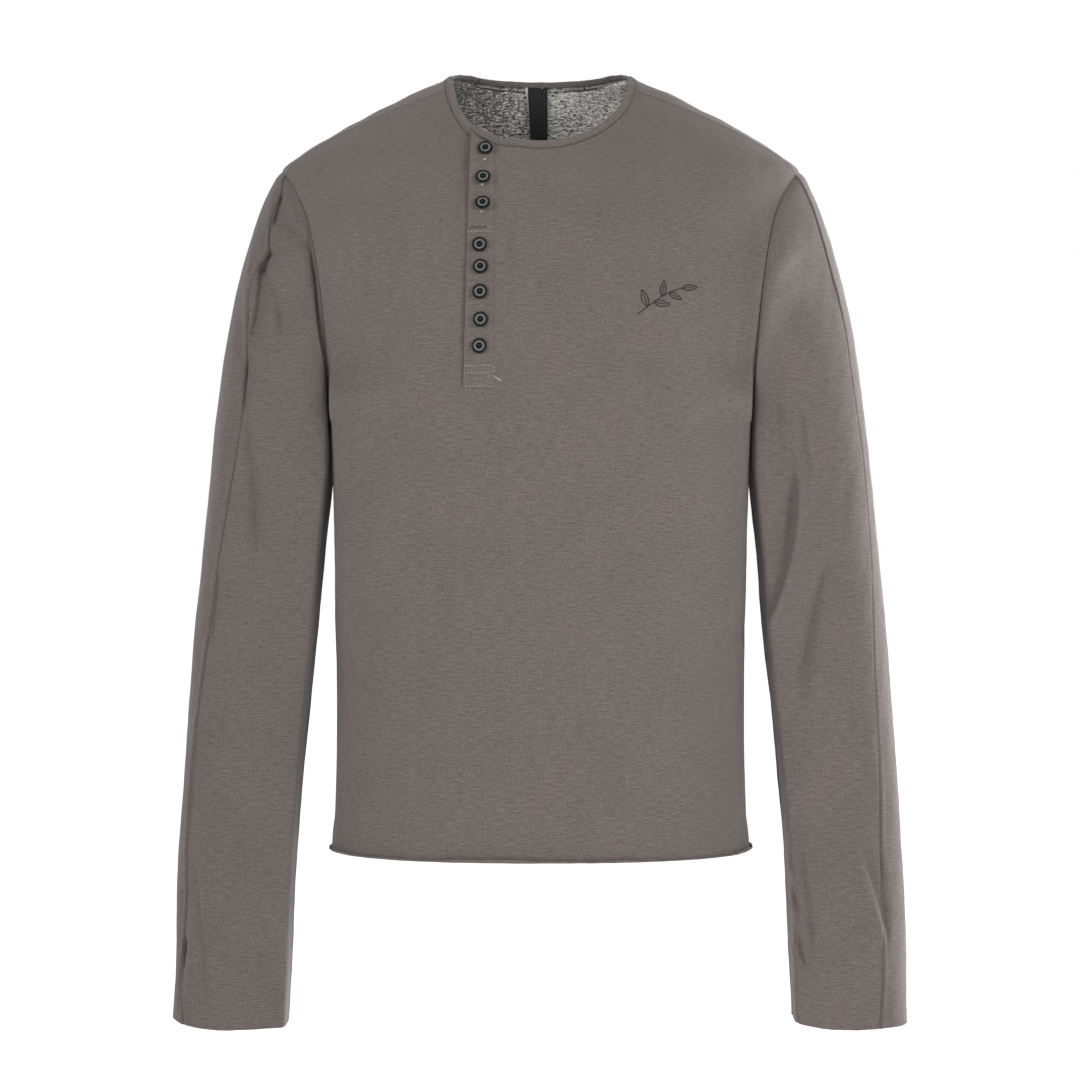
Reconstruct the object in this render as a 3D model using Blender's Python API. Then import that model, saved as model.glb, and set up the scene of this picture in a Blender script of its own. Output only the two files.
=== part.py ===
"""A long-sleeved henley shirt, filled out as if worn, with nobody in it.

Frame: +Z up, the front faces -Y, the wearer's left is +X. The origin is on the shirt's middle line, at the
height of the shoulders beside the neck, where the wearer's shoulders hold it up.
The torso is a form: a level section at each height, each part of an egg-shaped curve. Every sewn piece is a
grid of points on that form or on a sleeve's rings, made into a closed wall that is one cloth thick. At a seam
two pieces stop a hair apart. Sizes are in millimetres until a mesh is made.
"""

import bmesh
import bpy
import numpy as np
from mathutils import Matrix, Vector

MM = 0.001
FRONT, BACK = -1, 1

# ---- Driving sizes -----------------------------------------------------------------------------------

CLOTH = 1.6  # wall of one layer of jersey
SEAM_GAP = 0.34  # between two sewn pieces
HEM_Z = -671.5
HEM_CURL = 14.0  # height of the row that turns out at the hem
UNDERARM_Z = -305.0
RIDGE_Z = -84.4  # where the armhole crosses the top of the shoulder
SHOULDER_SEAM_Z = -91.4  # where the shoulder seam meets the armhole, just in front of the ridge
BICEPS_Z = -352.0

NECK_HALF_WIDTH = 83.0
NECK_HALF_DEPTH = 62.8  # behind the sides of the neckline
NECK_SIDE_Z = -3.0
NECK_DROP = 72.0  # from the sides of the neckline to its front
NECK_SEAM_ANGLE = 79.2  # degrees round the neckline from the front to the shoulder seam
UNDERLAP_SAG = 8.0  # how much lower the buttoned-under front hangs at the slot
OVERLAP_SAG = 2.5  # the same for the placket's free corner
OVERLAP_SAG_ANGLE = -15.0  # where round the neckline that sag begins
BINDING_LIFT = 2.9  # where it runs over the placket
BINDING_RISE = (12.0, 26.0)  # degrees from the front over which it climbs there
BINDING_LAP = 6.0  # how far its under end reaches into the slot
BINDING_DIP = 1.4  # how far that end sinks behind the placket

PLACKET_FOOT_Z = -279.0
PLACKET_TOP_Z = -54.0
SLOT_LEFT_X = (-64.0, -59.5)  # at the slot's foot and at its top
SLOT_RIGHT_X = (-39.5, -39.0)
PLACKET_CLOTH = 1.8
PLACKET_STANDOFF = 0.6
PLACKET_OVERHANG = 1.6  # past each edge of the slot
UNDERLAP_STANDOFF = 1.2
UNDERLAP_OVERHANG = 5.0
UNDERLAP_TOP_GAP = 1.2
SLOT_CROWDING = 1.3  # above 1, rows draw together towards the top of the slot
PLACKET_ROWS = 18
PLACKET_COLUMNS = 3

BUTTON_SEGMENTS = 14
BUTTON_STANDOFF = 0.35

LABEL_CLOTH = 0.9
LABEL_TOP_Z = -4.5
LABEL_ROWS = 6

SIDE_POWER = 2.4  # how square a level section is, across and front to back
DEPTH_POWER = 2.2

CAP_SEAM_TURN = 168.0  # degrees round the armhole from the underarm to the shoulder seam
CAP_OUT_FULLNESS = 0.36  # how far the cap swells out over the shoulder, and to its front and back
CAP_SIDE_FULLNESS = 0.26
CAP_LEAVE = 0.95  # how long it keeps the direction in which it leaves the armhole

LOWER_ROWS = 9
ARMHOLE_ROWS = 12  # also the columns of each half of a sleeve
SHOULDER_COLUMNS = 7
NECK_LEFT_COLUMNS = 3
SLOT_COLUMNS = 2
NECK_RIGHT_COLUMNS = 9
BACK_NECK_COLUMNS = 14
CAP_ROWS = 10
SLEEVE_ROWS = 20


def table(columns, *rows):
    """Rows of sizes as one array for each named column."""
    values = np.array(rows, float)
    return {name: values[:, i] for i, name in enumerate(columns.split())}


TORSO = table(
    "z half_width front back",
    (-671.5, 184.5, 118, 110),
    (-657.5, 181.0, 117.5, 109),
    (-640.0, 178.2, 117, 107),
    (-560.0, 176.6, 118, 104),
    (-457.0, 176.6, 121, 105),
    (-390.0, 178.0, 123, 109),
    (-352.0, 180.0, 125, 112),
    (-305.0, 180.0, 126, 115),
    (-300.0, 181.3, 126, 115),
    (-295.0, 182.3, 125.8, 115),
    (-285.0, 183.9, 125.3, 115.5),
    (-266.0, 186.4, 124, 116),
    (-243.0, 190.9, 122, 116),
    (-197.0, 201.7, 116.5, 115),
    (-173.0, 208.5, 111, 113),
    (-153.0, 214.5, 107, 110.5),
    (-128.0, 221.0, 99, 106.5),
    (-107.0, 224.5, 91, 102),
    (-92.0, 226.0, 86, 98),
    (-84.4, 225.8, 82, 96),
    (-74.0, 214.5, 77, 93),
    (-54.8, 184.9, 62.5, 86),
    (-28.7, 136.0, 39, 75),
    (-12.2, 102.5, 23, 67),
    (-3.0, 83.0, 12, 62),
    (2.0, 72.0, 8, 60),
    (8.0, 62.0, 6, 56),
)

ARMHOLE = table(
    "z x",
    (-305.0, 180.0),
    (-300.0, 180.7),
    (-295.0, 181.0),
    (-266.0, 181.6),
    (-243.0, 182.3),
    (-197.0, 186.0),
    (-173.0, 189.3),
    (-153.0, 193.0),
    (-128.0, 199.5),
    (-107.0, 209.0),
    (-92.0, 218.4),
    (-84.4, 225.8),
)

# Level rings of a sleeve. The seam angles are in degrees, from the ring's outer side towards the front.
SLEEVE = table(
    "z inner outer middle_y half_depth left_seam right_seam",
    (-352.0, 181.4, 288.4, 4, 55, 35.0, 55.5),
    (-422.0, 188.6, 294.5, 4, 52, 37.0, 50.5),
    (-491.0, 194.5, 300.6, 2, 49, 45.5, 45.0),
    (-561.0, 202.0, 305.8, -2, 46, 49.5, 38.7),
    (-631.0, 207.8, 310.1, -7, 43, 53.0, 36.0),
    (-700.0, 212.4, 313.4, -13, 41, 57.0, 36.0),
    (-770.0, 214.8, 314.8, -19, 39, 59.0, 33.0),
    (-821.0, 216.6, 315.6, -24, 38, 64.0, 41.0),
)

# The largest folds: soft ridges (height above 0) and troughs along a line seen from the front or the back.
FOLDS = table(
    "x0 z0 x1 z1 half_width height face",
    (-231, -187, -220, -229, 10, -3.5, FRONT),
    (-221, -106, -230, -134, 9, -3.0, FRONT),
    (-249, -280, -247, -341, 12, -4.5, FRONT),
    (-247, -341, -242, -415, 12, -4.5, FRONT),
    (-286, -615, -281, -680, 12, -3.0, FRONT),
    (-296, -700, -284, -797, 11, -4.0, FRONT),
    (219, -292, 228, -365, 10, -4.0, FRONT),
    (215, -356, 201, -434, 10, 3.5, FRONT),
    (243, -414, 220, -534, 11, -3.5, FRONT),
    (215, -636, 226, -748, 10, 3.5, FRONT),
    (264, -658, 289, -724, 12, 4.0, FRONT),
    (232, -270, 243, -366, 12, -4.0, BACK),
    (214, -392, 246, -470, 12, -3.5, BACK),
    (280, -520, 262, -640, 12, 3.5, BACK),
    (236, -668, 252, -770, 11, -4.0, BACK),
    (-226, -262, -243, -352, 12, -4.0, BACK),
    (-250, -430, -222, -505, 12, 3.5, BACK),
    (-262, -560, -281, -668, 12, -3.5, BACK),
    (-247, -690, -262, -785, 11, -4.0, BACK),
)

# Buttons on the placket, from the neck down. The tilt, in degrees, leans a button's top edge in.
BUTTONS = table(
    "x z tilt",
    (-46.6, -75.5, 0),
    (-48.1, -100.2, 12),
    (-47.9, -123.1, 10),
    (-50.5, -159.3, 2),
    (-49.6, -177.9, 2),
    (-49.9, -199.0, 0),
    (-49.4, -222.4, 0),
    (-50.2, -244.8, 0),
)
BUTTON_PROFILE = table(
    "radius height",
    (5.0, 0.0),
    (6.35, 0.9),
    (6.35, 1.7),
    (5.6, 2.5),
    (3.1, 2.2),
    (2.6, 1.5),
)

# The neck binding's section: along the cloth from its seam, and out from the form.
BINDING_PROFILE = table(
    "along out",
    (0.0, 0.4),
    (4.5, 0.8),
    (8.2, 0.4),
    (9.0, -0.8),
    (8.2, -2.0),
    (0.0, -2.0),
)

# Strips sewn in at the back of the neck: how far in from the form each lies, and its edges.
LABELS = {
    "care_label": dict(inset=2.5, left=-14.0, right=2.0, length=58.0, lean=2.5),
    "neck_label": dict(inset=3.8, left=-11.5, right=6.4, length=82.0, lean=1.5),
}


# ---- Curves and grids --------------------------------------------------------------------------------


def unit(vectors):
    return vectors / np.linalg.norm(vectors, axis=-1, keepdims=True)


def column(rows, name, z):
    """One column of a table as a smooth curve of z that never overshoots its rows."""
    order = np.argsort(rows["z"])
    heights, sizes = rows["z"][order], rows[name][order]
    z = np.clip(z, heights[0], heights[-1])
    step = np.diff(heights)
    slope = np.diff(sizes) / step
    total = slope[:-1] + slope[1:]
    shared = slope[:-1] * slope[1:]
    middle = np.where(shared > 0, 2 * shared / np.where(total == 0, 1, total), 0)
    tangent = np.concatenate([slope[:1], middle, slope[-1:]])
    i = np.clip(np.searchsorted(heights, z, side="right") - 1, 0, len(step) - 1)
    t = (z - heights[i]) / step[i]
    rise = (1 + 2 * t) * (1 - t) ** 2 * sizes[i] + t * t * (3 - 2 * t) * sizes[i + 1]
    return rise + step[i] * t * (1 - t) * ((1 - t) * tangent[i] - t * tangent[i + 1])


def evenly(curve, steps):
    """The same curve as steps + 1 points at equal distances along it."""
    lengths = np.linalg.norm(np.diff(curve, axis=0), axis=1)
    along = np.concatenate([[0], np.cumsum(lengths)])
    places = np.linspace(0, along[-1], steps + 1)
    return np.stack([np.interp(places, along, curve[:, k]) for k in range(3)], axis=1)


def crowded_ends(first, last, count=120):
    """Numbers from first to last, closer together towards both."""
    return first + (last - first) * (1 - np.cos(np.linspace(0, np.pi, count))) / 2


def patch(bottom, top, left, right):
    """A grid of rows between four edge curves that share their corners."""
    u = np.linspace(0, 1, len(bottom))[None, :, None]
    v = np.linspace(0, 1, len(left))[:, None, None]
    across = (1 - v) * bottom[None] + v * top[None]
    upward = (1 - u) * left[:, None] + u * right[:, None]
    corners = (1 - v) * ((1 - u) * bottom[0] + u * bottom[-1]) + v * ((1 - u) * top[0] + u * top[-1])
    return across + upward - corners


def mirrored(points):
    return points * np.array([-1, 1, 1])


# ---- The torso's form --------------------------------------------------------------------------------


def form_value(points):
    """Below 0 inside the torso's form, above 0 outside it."""
    x, y, z = np.moveaxis(points, -1, 0)
    depth = np.where(y < 0, column(TORSO, "front", z), column(TORSO, "back", z))
    across = np.abs(x) / column(TORSO, "half_width", z)
    return across**SIDE_POWER + (np.abs(y) / depth) ** DEPTH_POWER - 1


def form_slope(points):
    step = 0.05
    parts = [form_value(points + step * axis) - form_value(points - step * axis) for axis in np.eye(3)]
    return np.stack(parts, axis=-1) / (2 * step)


def form_normal(points):
    return unit(form_slope(points))


def onto_form(points):
    for _ in range(12):
        slope = form_slope(points)
        points = points - form_value(points)[..., None] * slope / np.sum(slope**2, axis=-1, keepdims=True)
    return points


def on_face(x, z, face):
    """The form's points at the given x and z, on its front or its back."""
    x, z = np.broadcast_arrays(np.asarray(x, float), np.asarray(z, float))
    depth = column(TORSO, "front" if face == FRONT else "back", z)
    left_over = np.clip(1 - (np.abs(x) / column(TORSO, "half_width", z)) ** SIDE_POWER, 0, None)
    return np.stack([x, face * depth * left_over ** (1 / DEPTH_POWER), z], axis=-1)


# ---- Seam lines --------------------------------------------------------------------------------------


def armhole(first_z, last_z, face):
    z = crowded_ends(first_z, last_z)
    return on_face(column(ARMHOLE, "x", z), z, face)


def front_armhole():
    """From the underarm up to the shoulder seam."""
    return evenly(armhole(UNDERARM_Z, SHOULDER_SEAM_Z, FRONT), ARMHOLE_ROWS)


def back_armhole():
    """From the underarm up the back and over the ridge to the shoulder seam."""
    behind = armhole(UNDERARM_Z, RIDGE_Z, BACK)
    over = armhole(RIDGE_Z, SHOULDER_SEAM_Z, FRONT)
    return evenly(np.concatenate([behind, over[1:]]), ARMHOLE_ROWS)


def neckline(angles, sag=0.0):
    """The neckline's seam on the form; angles are degrees round from the front, above 0 towards +X."""
    turn = np.radians(np.asarray(angles, float))
    x = NECK_HALF_WIDTH * np.sin(turn)
    front = on_face(x, NECK_SIDE_Z - NECK_DROP * np.clip(np.cos(turn), 0, 1) - sag, FRONT)
    low, high = np.full(x.shape, TORSO["z"].min()), np.full(x.shape, TORSO["z"].max())
    y = NECK_HALF_DEPTH * np.clip(-np.cos(turn), 0, 1)
    for _ in range(40):
        z = (low + high) / 2
        outside = form_value(np.stack([x, y, z], axis=-1)) > 0
        low, high = np.where(outside, low, z), np.where(outside, z, high)
    back = np.stack([x, y, (low + high) / 2], axis=-1)
    return np.where(np.cos(turn)[..., None] >= 0, front, back)


def neck_angle(x):
    return np.degrees(np.arcsin(x / NECK_HALF_WIDTH))


def underlap_sag(angles):
    """The front under the placket hangs lower towards the slot."""
    share = (NECK_SEAM_ANGLE + angles) / (NECK_SEAM_ANGLE + neck_angle(SLOT_LEFT_X[1]))
    return UNDERLAP_SAG * np.clip(share, 0, 1) ** 1.5


def overlap_sag(angles):
    span = neck_angle(SLOT_LEFT_X[1]) - OVERLAP_SAG_ANGLE
    return OVERLAP_SAG * np.clip((angles - OVERLAP_SAG_ANGLE) / span, 0, 1) ** 2


def neck_left():
    """The neckline's seam from the shoulder seam on -X to the slot."""
    angles = np.linspace(-NECK_SEAM_ANGLE, neck_angle(SLOT_LEFT_X[1]), 80)
    return evenly(neckline(angles, underlap_sag(angles)), NECK_LEFT_COLUMNS)


def neck_right():
    """From the slot past the front to the shoulder seam on +X."""
    angles = np.linspace(neck_angle(SLOT_RIGHT_X[1]), NECK_SEAM_ANGLE, 160)
    return evenly(neckline(angles), NECK_RIGHT_COLUMNS)


def neck_back():
    """Round the back, from the shoulder seam on -X to the one on +X."""
    return evenly(neckline(np.linspace(360 - NECK_SEAM_ANGLE, NECK_SEAM_ANGLE, 200)), BACK_NECK_COLUMNS)


def slot_x(edge, z):
    return np.interp(z, (PLACKET_FOOT_Z, PLACKET_TOP_Z), edge)


def neck_height(x, sag):
    angles = neck_angle(x)
    return NECK_SIDE_Z - NECK_DROP * np.cos(np.radians(angles)) - sag(angles)


def shoulder_seam(steps):
    """From the neck out to the armhole, just in front of the ridge."""
    ends = neckline([NECK_SEAM_ANGLE])[0], front_armhole()[-1]
    share = np.linspace(0, 1, 60)[:, None]
    return evenly(onto_form((1 - share) * ends[0] + share * ends[1]), steps)


# ---- Closed walls ------------------------------------------------------------------------------------


def colour(*levels):
    """Screen levels from 0 to 255 as the linear values that a material holds."""
    shares = np.array(levels) / 255
    linear = np.where(shares <= 0.04045, shares / 12.92, ((shares + 0.055) / 1.055) ** 2.4)
    return (*linear, 1.0)


def material(name, base, roughness):
    made = bpy.data.materials.new(name)
    made.use_nodes = True
    shader = made.node_tree.nodes["Principled BSDF"]
    shader.inputs["Base Color"].default_value = base
    shader.inputs["Roughness"].default_value = roughness
    shader.inputs["Metallic"].default_value = 0.0
    return made


def add_object(name, mesh, finish, smooth_angle=40.0):
    mesh.materials.append(finish)
    mesh.shade_smooth()
    mesh.set_sharp_from_angle(angle=np.radians(smooth_angle))
    made = bpy.data.objects.new(name, mesh)
    bpy.context.scene.collection.objects.link(made)
    return made


def closed_mesh(name, points, faces):
    """A mesh of the points that faces use, in metres, with its faces turned out."""
    shape = bmesh.new()
    used = sorted({corner for face in faces for corner in face})
    places = {corner: shape.verts.new(Vector(points[corner]) * MM) for corner in used}
    for face in faces:
        shape.faces.new([places[corner] for corner in face])
    bmesh.ops.recalc_face_normals(shape, faces=shape.faces)
    mesh = bpy.data.meshes.new(name)
    shape.to_mesh(mesh)
    shape.free()
    return mesh


def wall(name, outer, inner, finish, missing=()):
    """A closed wall between two grids. missing holds the (row, column) cells that are cut out."""
    rows, columns = outer.shape[0] - 1, outer.shape[1] - 1
    cells = {(i, j) for i in range(rows) for j in range(columns)} - set(missing)
    points = {}
    for i in range(rows + 1):
        for j in range(columns + 1):
            points["out", i, j] = outer[i, j]
            points["in", i, j] = inner[i, j]
    faces = []
    for i, j in sorted(cells):
        ring = [(i, j), (i, j + 1), (i + 1, j + 1), (i + 1, j)]
        beyond = [(i - 1, j), (i, j + 1), (i + 1, j), (i, j - 1)]
        faces.append([("out", *corner) for corner in ring])
        faces.append([("in", *corner) for corner in reversed(ring)])
        for k, neighbour in enumerate(beyond):
            if neighbour not in cells:
                a, b = ring[k], ring[(k + 1) % 4]
                faces.append([("out", *b), ("out", *a), ("in", *a), ("in", *b)])
    return add_object(name, closed_mesh(name, points, faces), finish)


class Sheet:
    """A grid of points with a normal at each, and the seams that it draws back from."""

    def __init__(self, points, normals):
        self.points = points
        self.normals = normals
        self.shift = np.zeros_like(points)
        self.drop = -CLOTH * normals

    def draw_back(self, where, inward):
        """Moves an edge half a seam's gap inward, and keeps the wall behind it on its own side."""
        inward = unit(inward)
        self.shift[where] += inward * SEAM_GAP / 2
        across = np.clip(np.sum(self.drop[where] * inward, axis=-1, keepdims=True), None, 0)
        self.drop[where] -= across * inward

    def draw_back_edge(self, where, beside):
        """The same, along the sheet itself. beside is the row or column next to the edge."""
        edge = self.points[where]
        inward = np.cross(np.gradient(edge, axis=0), self.normals[where])
        towards = np.sum(inward * (self.points[beside] - edge), axis=-1, keepdims=True)
        self.draw_back(where, inward * np.sign(towards))

    def build(self, name, finish, missing=()):
        outer = self.points + self.shift
        return wall(name, outer, outer + self.drop, finish, missing)


# ---- Sleeves -----------------------------------------------------------------------------------------


def fold_height(points, face):
    """How far the folds lift or sink the points of one face."""
    place = points[..., [0, 2]]
    height = np.zeros(points.shape[:-1])
    for k in np.flatnonzero(FOLDS["face"] == face):
        start = np.array([FOLDS["x0"][k], FOLDS["z0"][k]])
        run = np.array([FOLDS["x1"][k], FOLDS["z1"][k]]) - start
        share = np.clip((place - start) @ run / (run @ run), 0, 1)
        away = np.linalg.norm(place - start - share[..., None] * run, axis=-1)
        height += FOLDS["height"][k] * np.exp(-((away / FOLDS["half_width"][k]) ** 2))
    return height


def grid_normals(rings):
    """Normals of rows of closed rings, turned away from each ring's middle."""
    down = np.gradient(rings, axis=0)
    around = np.roll(rings, -1, axis=1) - np.roll(rings, 1, axis=1)
    normals = unit(np.cross(down, around))
    away = rings - rings.mean(axis=1, keepdims=True)
    flip = np.sign(np.sum(np.sum(normals * away, axis=-1)))
    return normals * flip


def sleeve_rings(side):
    """Rings of the +X sleeve, each from the underarm round the front to the outer seam and back."""
    front, back = front_armhole(), back_armhole()
    top = np.concatenate([front, back[::-1][1:-1]])
    steps = len(front) - 1
    rows = np.linspace(BICEPS_Z, SLEEVE["z"][-1], SLEEVE_ROWS + 1)
    seam = column(SLEEVE, "left_seam" if side > 0 else "right_seam", rows)
    turn_front = np.linspace(0, 1, steps + 1)[None, :] * (180 - seam[:, None])
    turn_back = (180 - seam[:, None]) + np.linspace(0, 1, steps + 1)[None, 1:-1] * (180 + seam[:, None])
    turn = np.radians(np.concatenate([turn_front, turn_back], axis=1))
    inner, outer = column(SLEEVE, "inner", rows), column(SLEEVE, "outer", rows)
    middle = np.stack([(inner + outer) / 2, column(SLEEVE, "middle_y", rows), rows], axis=1)[:, None]
    half_width, half_depth = (outer - inner) / 2, column(SLEEVE, "half_depth", rows)
    lower = np.broadcast_to(middle, (*turn.shape, 3)).copy()
    lower[..., 0] -= half_width[:, None] * np.cos(turn)
    lower[..., 1] -= half_depth[:, None] * np.sin(turn)

    # The cap runs from each point of the armhole to its point of the first ring, fuller over the shoulder.
    round_armhole = np.radians(np.concatenate([
        np.linspace(0, CAP_SEAM_TURN, steps + 1), np.linspace(CAP_SEAM_TURN, 360, steps + 1)[1:-1]]))
    chord = lower[0] - top
    length = np.linalg.norm(chord, axis=1, keepdims=True)
    fuller = np.stack([CAP_OUT_FULLNESS * (1 - np.cos(round_armhole)) / 2,
                       -CAP_SIDE_FULLNESS * np.sin(round_armhole), np.zeros(len(top))], axis=1)
    leave = unit(chord / length + fuller) * length * CAP_LEAVE
    arrive = unit(lower[1] - lower[0]) * length
    s = np.linspace(0, 1, CAP_ROWS + 1)[:-1, None, None]
    cap = ((1 + 2 * s) * (1 - s) ** 2 * top + s * (1 - s) ** 2 * leave
           + s * s * (3 - 2 * s) * lower[0] - s * s * (1 - s) * arrive)
    rings = np.concatenate([cap, lower])

    normals = grid_normals(rings)
    placed = rings * np.array([side, 1, 1])
    lift = np.zeros(rings.shape[:2])
    for face in (FRONT, BACK):
        facing = np.clip(face * normals[..., 1] * 2.5, 0, 1)
        lift += facing * fold_height(placed, face)
    free = np.clip(np.arange(len(rings)) / 3, 0, 1)[:, None]
    rings = rings + (lift * free)[..., None] * normals
    return rings, grid_normals(rings)


def armhole_inward(rings, normals):
    """Across the armhole's seam, towards the torso, at each point of the loop."""
    loop = rings[0]
    along = np.roll(loop, -1, axis=0) - np.roll(loop, 1, axis=0)
    inward = unit(np.cross(along, form_normal(loop) + normals[0]))
    return inward * -np.sign(inward[:, :1])


def build_sleeve(side, finish):
    rings, normals = sleeve_rings(side)
    across = armhole_inward(rings, normals)
    steps = ARMHOLE_ROWS
    word = "left" if side > 0 else "right"
    whole = np.concatenate([rings, rings[:, :1]], axis=1)
    whole_normals = np.concatenate([normals, normals[:, :1]], axis=1)
    whole_across = np.concatenate([across, across[:1]])
    for half, span in (("front", slice(0, steps + 1)), ("back", slice(steps, 2 * steps + 1))):
        flip = np.array([side, 1, 1])
        sheet = Sheet(whole[:, span] * flip, whole_normals[:, span] * flip)
        sheet.draw_back((0,), -whole_across[span] * flip)
        sheet.draw_back_edge((slice(None), 0), (slice(None), 1))
        sheet.draw_back_edge((slice(None), -1), (slice(None), -2))
        sheet.build(f"sleeve_{word}_{half}", finish)


# ---- Body panels -------------------------------------------------------------------------------------


def level_line(x0, x1, z, face, steps):
    """Part of a level section of the form, from x0 to x1, in equal steps."""
    return evenly(on_face(crowded_ends(x0, x1), z, face), steps)


def lower_rows(ratios, face):
    """Rows of the torso from the hem up to the underarm, not counting that one."""
    heights = np.concatenate([[HEM_Z], np.linspace(HEM_Z + HEM_CURL, UNDERARM_Z, LOWER_ROWS)[:-1]])
    return np.stack([on_face(ratios * column(TORSO, "half_width", z), z, face) for z in heights])


def placket_line(edge, sag):
    """A slot's edge, from the underarm's height up to the neckline."""
    x = slot_x(edge, PLACKET_TOP_Z)
    share = 1 - np.linspace(1, 0, ARMHOLE_ROWS) ** SLOT_CROWDING
    slot_heights = PLACKET_FOOT_Z + share * (neck_height(x, sag) - PLACKET_FOOT_Z)
    heights = np.concatenate([[UNDERARM_Z], slot_heights])
    line = on_face(slot_x(edge, heights), heights, FRONT)
    line[-1] = on_face(x, heights[-1], FRONT)
    return line


def no_sag(angles):
    return np.zeros_like(angles)


def torso_sheet(grid, across, face):
    """A front or back panel, drawn back from its side, armhole, shoulder and neck seams."""
    sheet = Sheet(grid, form_normal(grid))
    # The side seams lie where the form is widest, so the cloth leaves them straight forward or back.
    low = slice(0, LOWER_ROWS + 1)
    high = slice(LOWER_ROWS, None)
    for edge, side in ((0, -1), (-1, 1)):
        sheet.normals[low, edge] = unit(sheet.normals[low, edge] * np.array([1, 0, 1]))
        sheet.drop[low, edge] = -CLOTH * sheet.normals[low, edge]
        sheet.draw_back((low, edge), np.broadcast_to([0.0, face, 0.0], (LOWER_ROWS + 1, 3)))
        sheet.draw_back((high, edge), across[side] * np.array([side, 1, 1]))
    sheet.draw_back_edge((-1, slice(None)), (-2, slice(None)))
    return sheet


def build_front(across, finish):
    armhole_line = front_armhole()
    seam = shoulder_seam(SHOULDER_COLUMNS)
    left_line = placket_line(SLOT_LEFT_X, underlap_sag)
    right_line = placket_line(SLOT_RIGHT_X, no_sag)
    left_columns = SHOULDER_COLUMNS + NECK_LEFT_COLUMNS
    right_columns = SHOULDER_COLUMNS + NECK_RIGHT_COLUMNS
    half = armhole_line[0][0]
    left = patch(level_line(-half, left_line[0][0], UNDERARM_Z, FRONT, left_columns),
                 np.concatenate([mirrored(seam)[::-1], neck_left()[1:]]), mirrored(armhole_line), left_line)
    right = patch(level_line(right_line[0][0], half, UNDERARM_Z, FRONT, right_columns),
                  np.concatenate([neck_right(), seam[1:]]), right_line, armhole_line)
    share = np.linspace(0, 1, SLOT_COLUMNS + 1)[None, 1:-1, None]
    slot = (1 - share) * left_line[:, None] + share * right_line[:, None]
    upper = np.concatenate([left, slot, right], axis=1)
    upper[1:, 1:-1] = onto_form(upper[1:, 1:-1])
    upper[0] = on_face(upper[0, :, 0], UNDERARM_Z, FRONT)
    grid = np.concatenate([lower_rows(upper[0, :, 0] / half, FRONT), upper])
    first = left_columns
    cut = [(i, j) for i in range(LOWER_ROWS + 1, len(grid) - 1) for j in range(first, first + SLOT_COLUMNS)]
    torso_sheet(grid, across, FRONT).build("front", finish, cut)


def build_back(across, finish):
    armhole_line = back_armhole()
    seam = shoulder_seam(SHOULDER_COLUMNS)
    half = armhole_line[0][0]
    columns = BACK_NECK_COLUMNS + 2 * SHOULDER_COLUMNS
    top = np.concatenate([mirrored(seam)[::-1], neck_back()[1:-1], seam])
    upper = patch(level_line(-half, half, UNDERARM_Z, BACK, columns), top,
                  mirrored(armhole_line), armhole_line)
    upper[1:-1, 1:-1] = onto_form(upper[1:-1, 1:-1])
    grid = np.concatenate([lower_rows(upper[0, :, 0] / half, BACK), upper])
    torso_sheet(grid, across, BACK).build("back", finish)


# ---- Neck binding, placket, buttons and labels -------------------------------------------------------


def build_binding(finish):
    """A folded band round the neckline. Its ends pass over one another at the placket."""
    under = neck_angle(np.linspace(SLOT_LEFT_X[1] + BINDING_LAP, SLOT_LEFT_X[1], 2)[:-1])
    over = neck_angle(np.linspace(SLOT_RIGHT_X[1], SLOT_LEFT_X[1] - PLACKET_OVERHANG, 4)[1:])
    line = np.concatenate([neckline(under, underlap_sag(under)), neck_left()[::-1], neck_back()[1:-1],
                           neck_right()[::-1], neckline(over, overlap_sag(over))])
    climb = BINDING_RISE[1] - BINDING_RISE[0]
    share = np.clip((-neck_angle(line[:, 0]) - BINDING_RISE[0]) / climb, 0, 1)
    share[:len(line) // 2] = 0
    lift = BINDING_LIFT * share * share * (3 - 2 * share)
    lift[:len(under) + 1] = -BINDING_DIP
    inward = unit(np.cross(np.gradient(line, axis=0), form_normal(line)))
    towards = np.stack([-line[:, 0], -line[:, 1], np.full(len(line), 60.0)], axis=1)
    inward *= np.sign(np.sum(inward * towards, axis=1, keepdims=True))
    rings = []
    for along, out in zip(BINDING_PROFILE["along"], BINDING_PROFILE["out"]):
        place = onto_form(line + inward * (SEAM_GAP / 2 + along))
        rings.append(place + form_normal(place) * (out + lift)[:, None])
    rings = np.stack(rings, axis=1)
    corners = rings.shape[1]
    points = {(i, j): rings[i, j] for i in range(len(rings)) for j in range(corners)}
    faces = [[(i, j), (i, (j + 1) % corners), (i + 1, (j + 1) % corners), (i + 1, j)]
             for i in range(len(rings) - 1) for j in range(corners)]
    for i in (0, len(rings) - 1):
        for a, b, c, d in ((0, 1, 4, 5), (1, 2, 3, 4)):
            faces.append([(i, a), (i, b), (i, c), (i, d)])
    add_object("neck_binding", closed_mesh("neck_binding", points, faces), finish)


def placket_strip(name, overhang, out, sag, foot, top_gap, finish):
    """A strip along the slot. out is how far its inner side lies from the form."""
    def x_at(share, z):
        left, right = slot_x(SLOT_LEFT_X, z) - overhang, slot_x(SLOT_RIGHT_X, z) + overhang
        return left + share * (right - left)

    lines = []
    for share in np.linspace(0, 1, PLACKET_COLUMNS + 1):
        top = neck_height(x_at(share, PLACKET_TOP_Z), sag) - top_gap
        z = np.linspace(foot, top, PLACKET_ROWS + 1)
        lines.append(on_face(x_at(share, z), z, FRONT))
    grid = np.stack(lines, axis=1)
    normals = form_normal(grid)
    wall(name, grid + normals * (out + PLACKET_CLOTH), grid + normals * out, finish)


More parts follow.
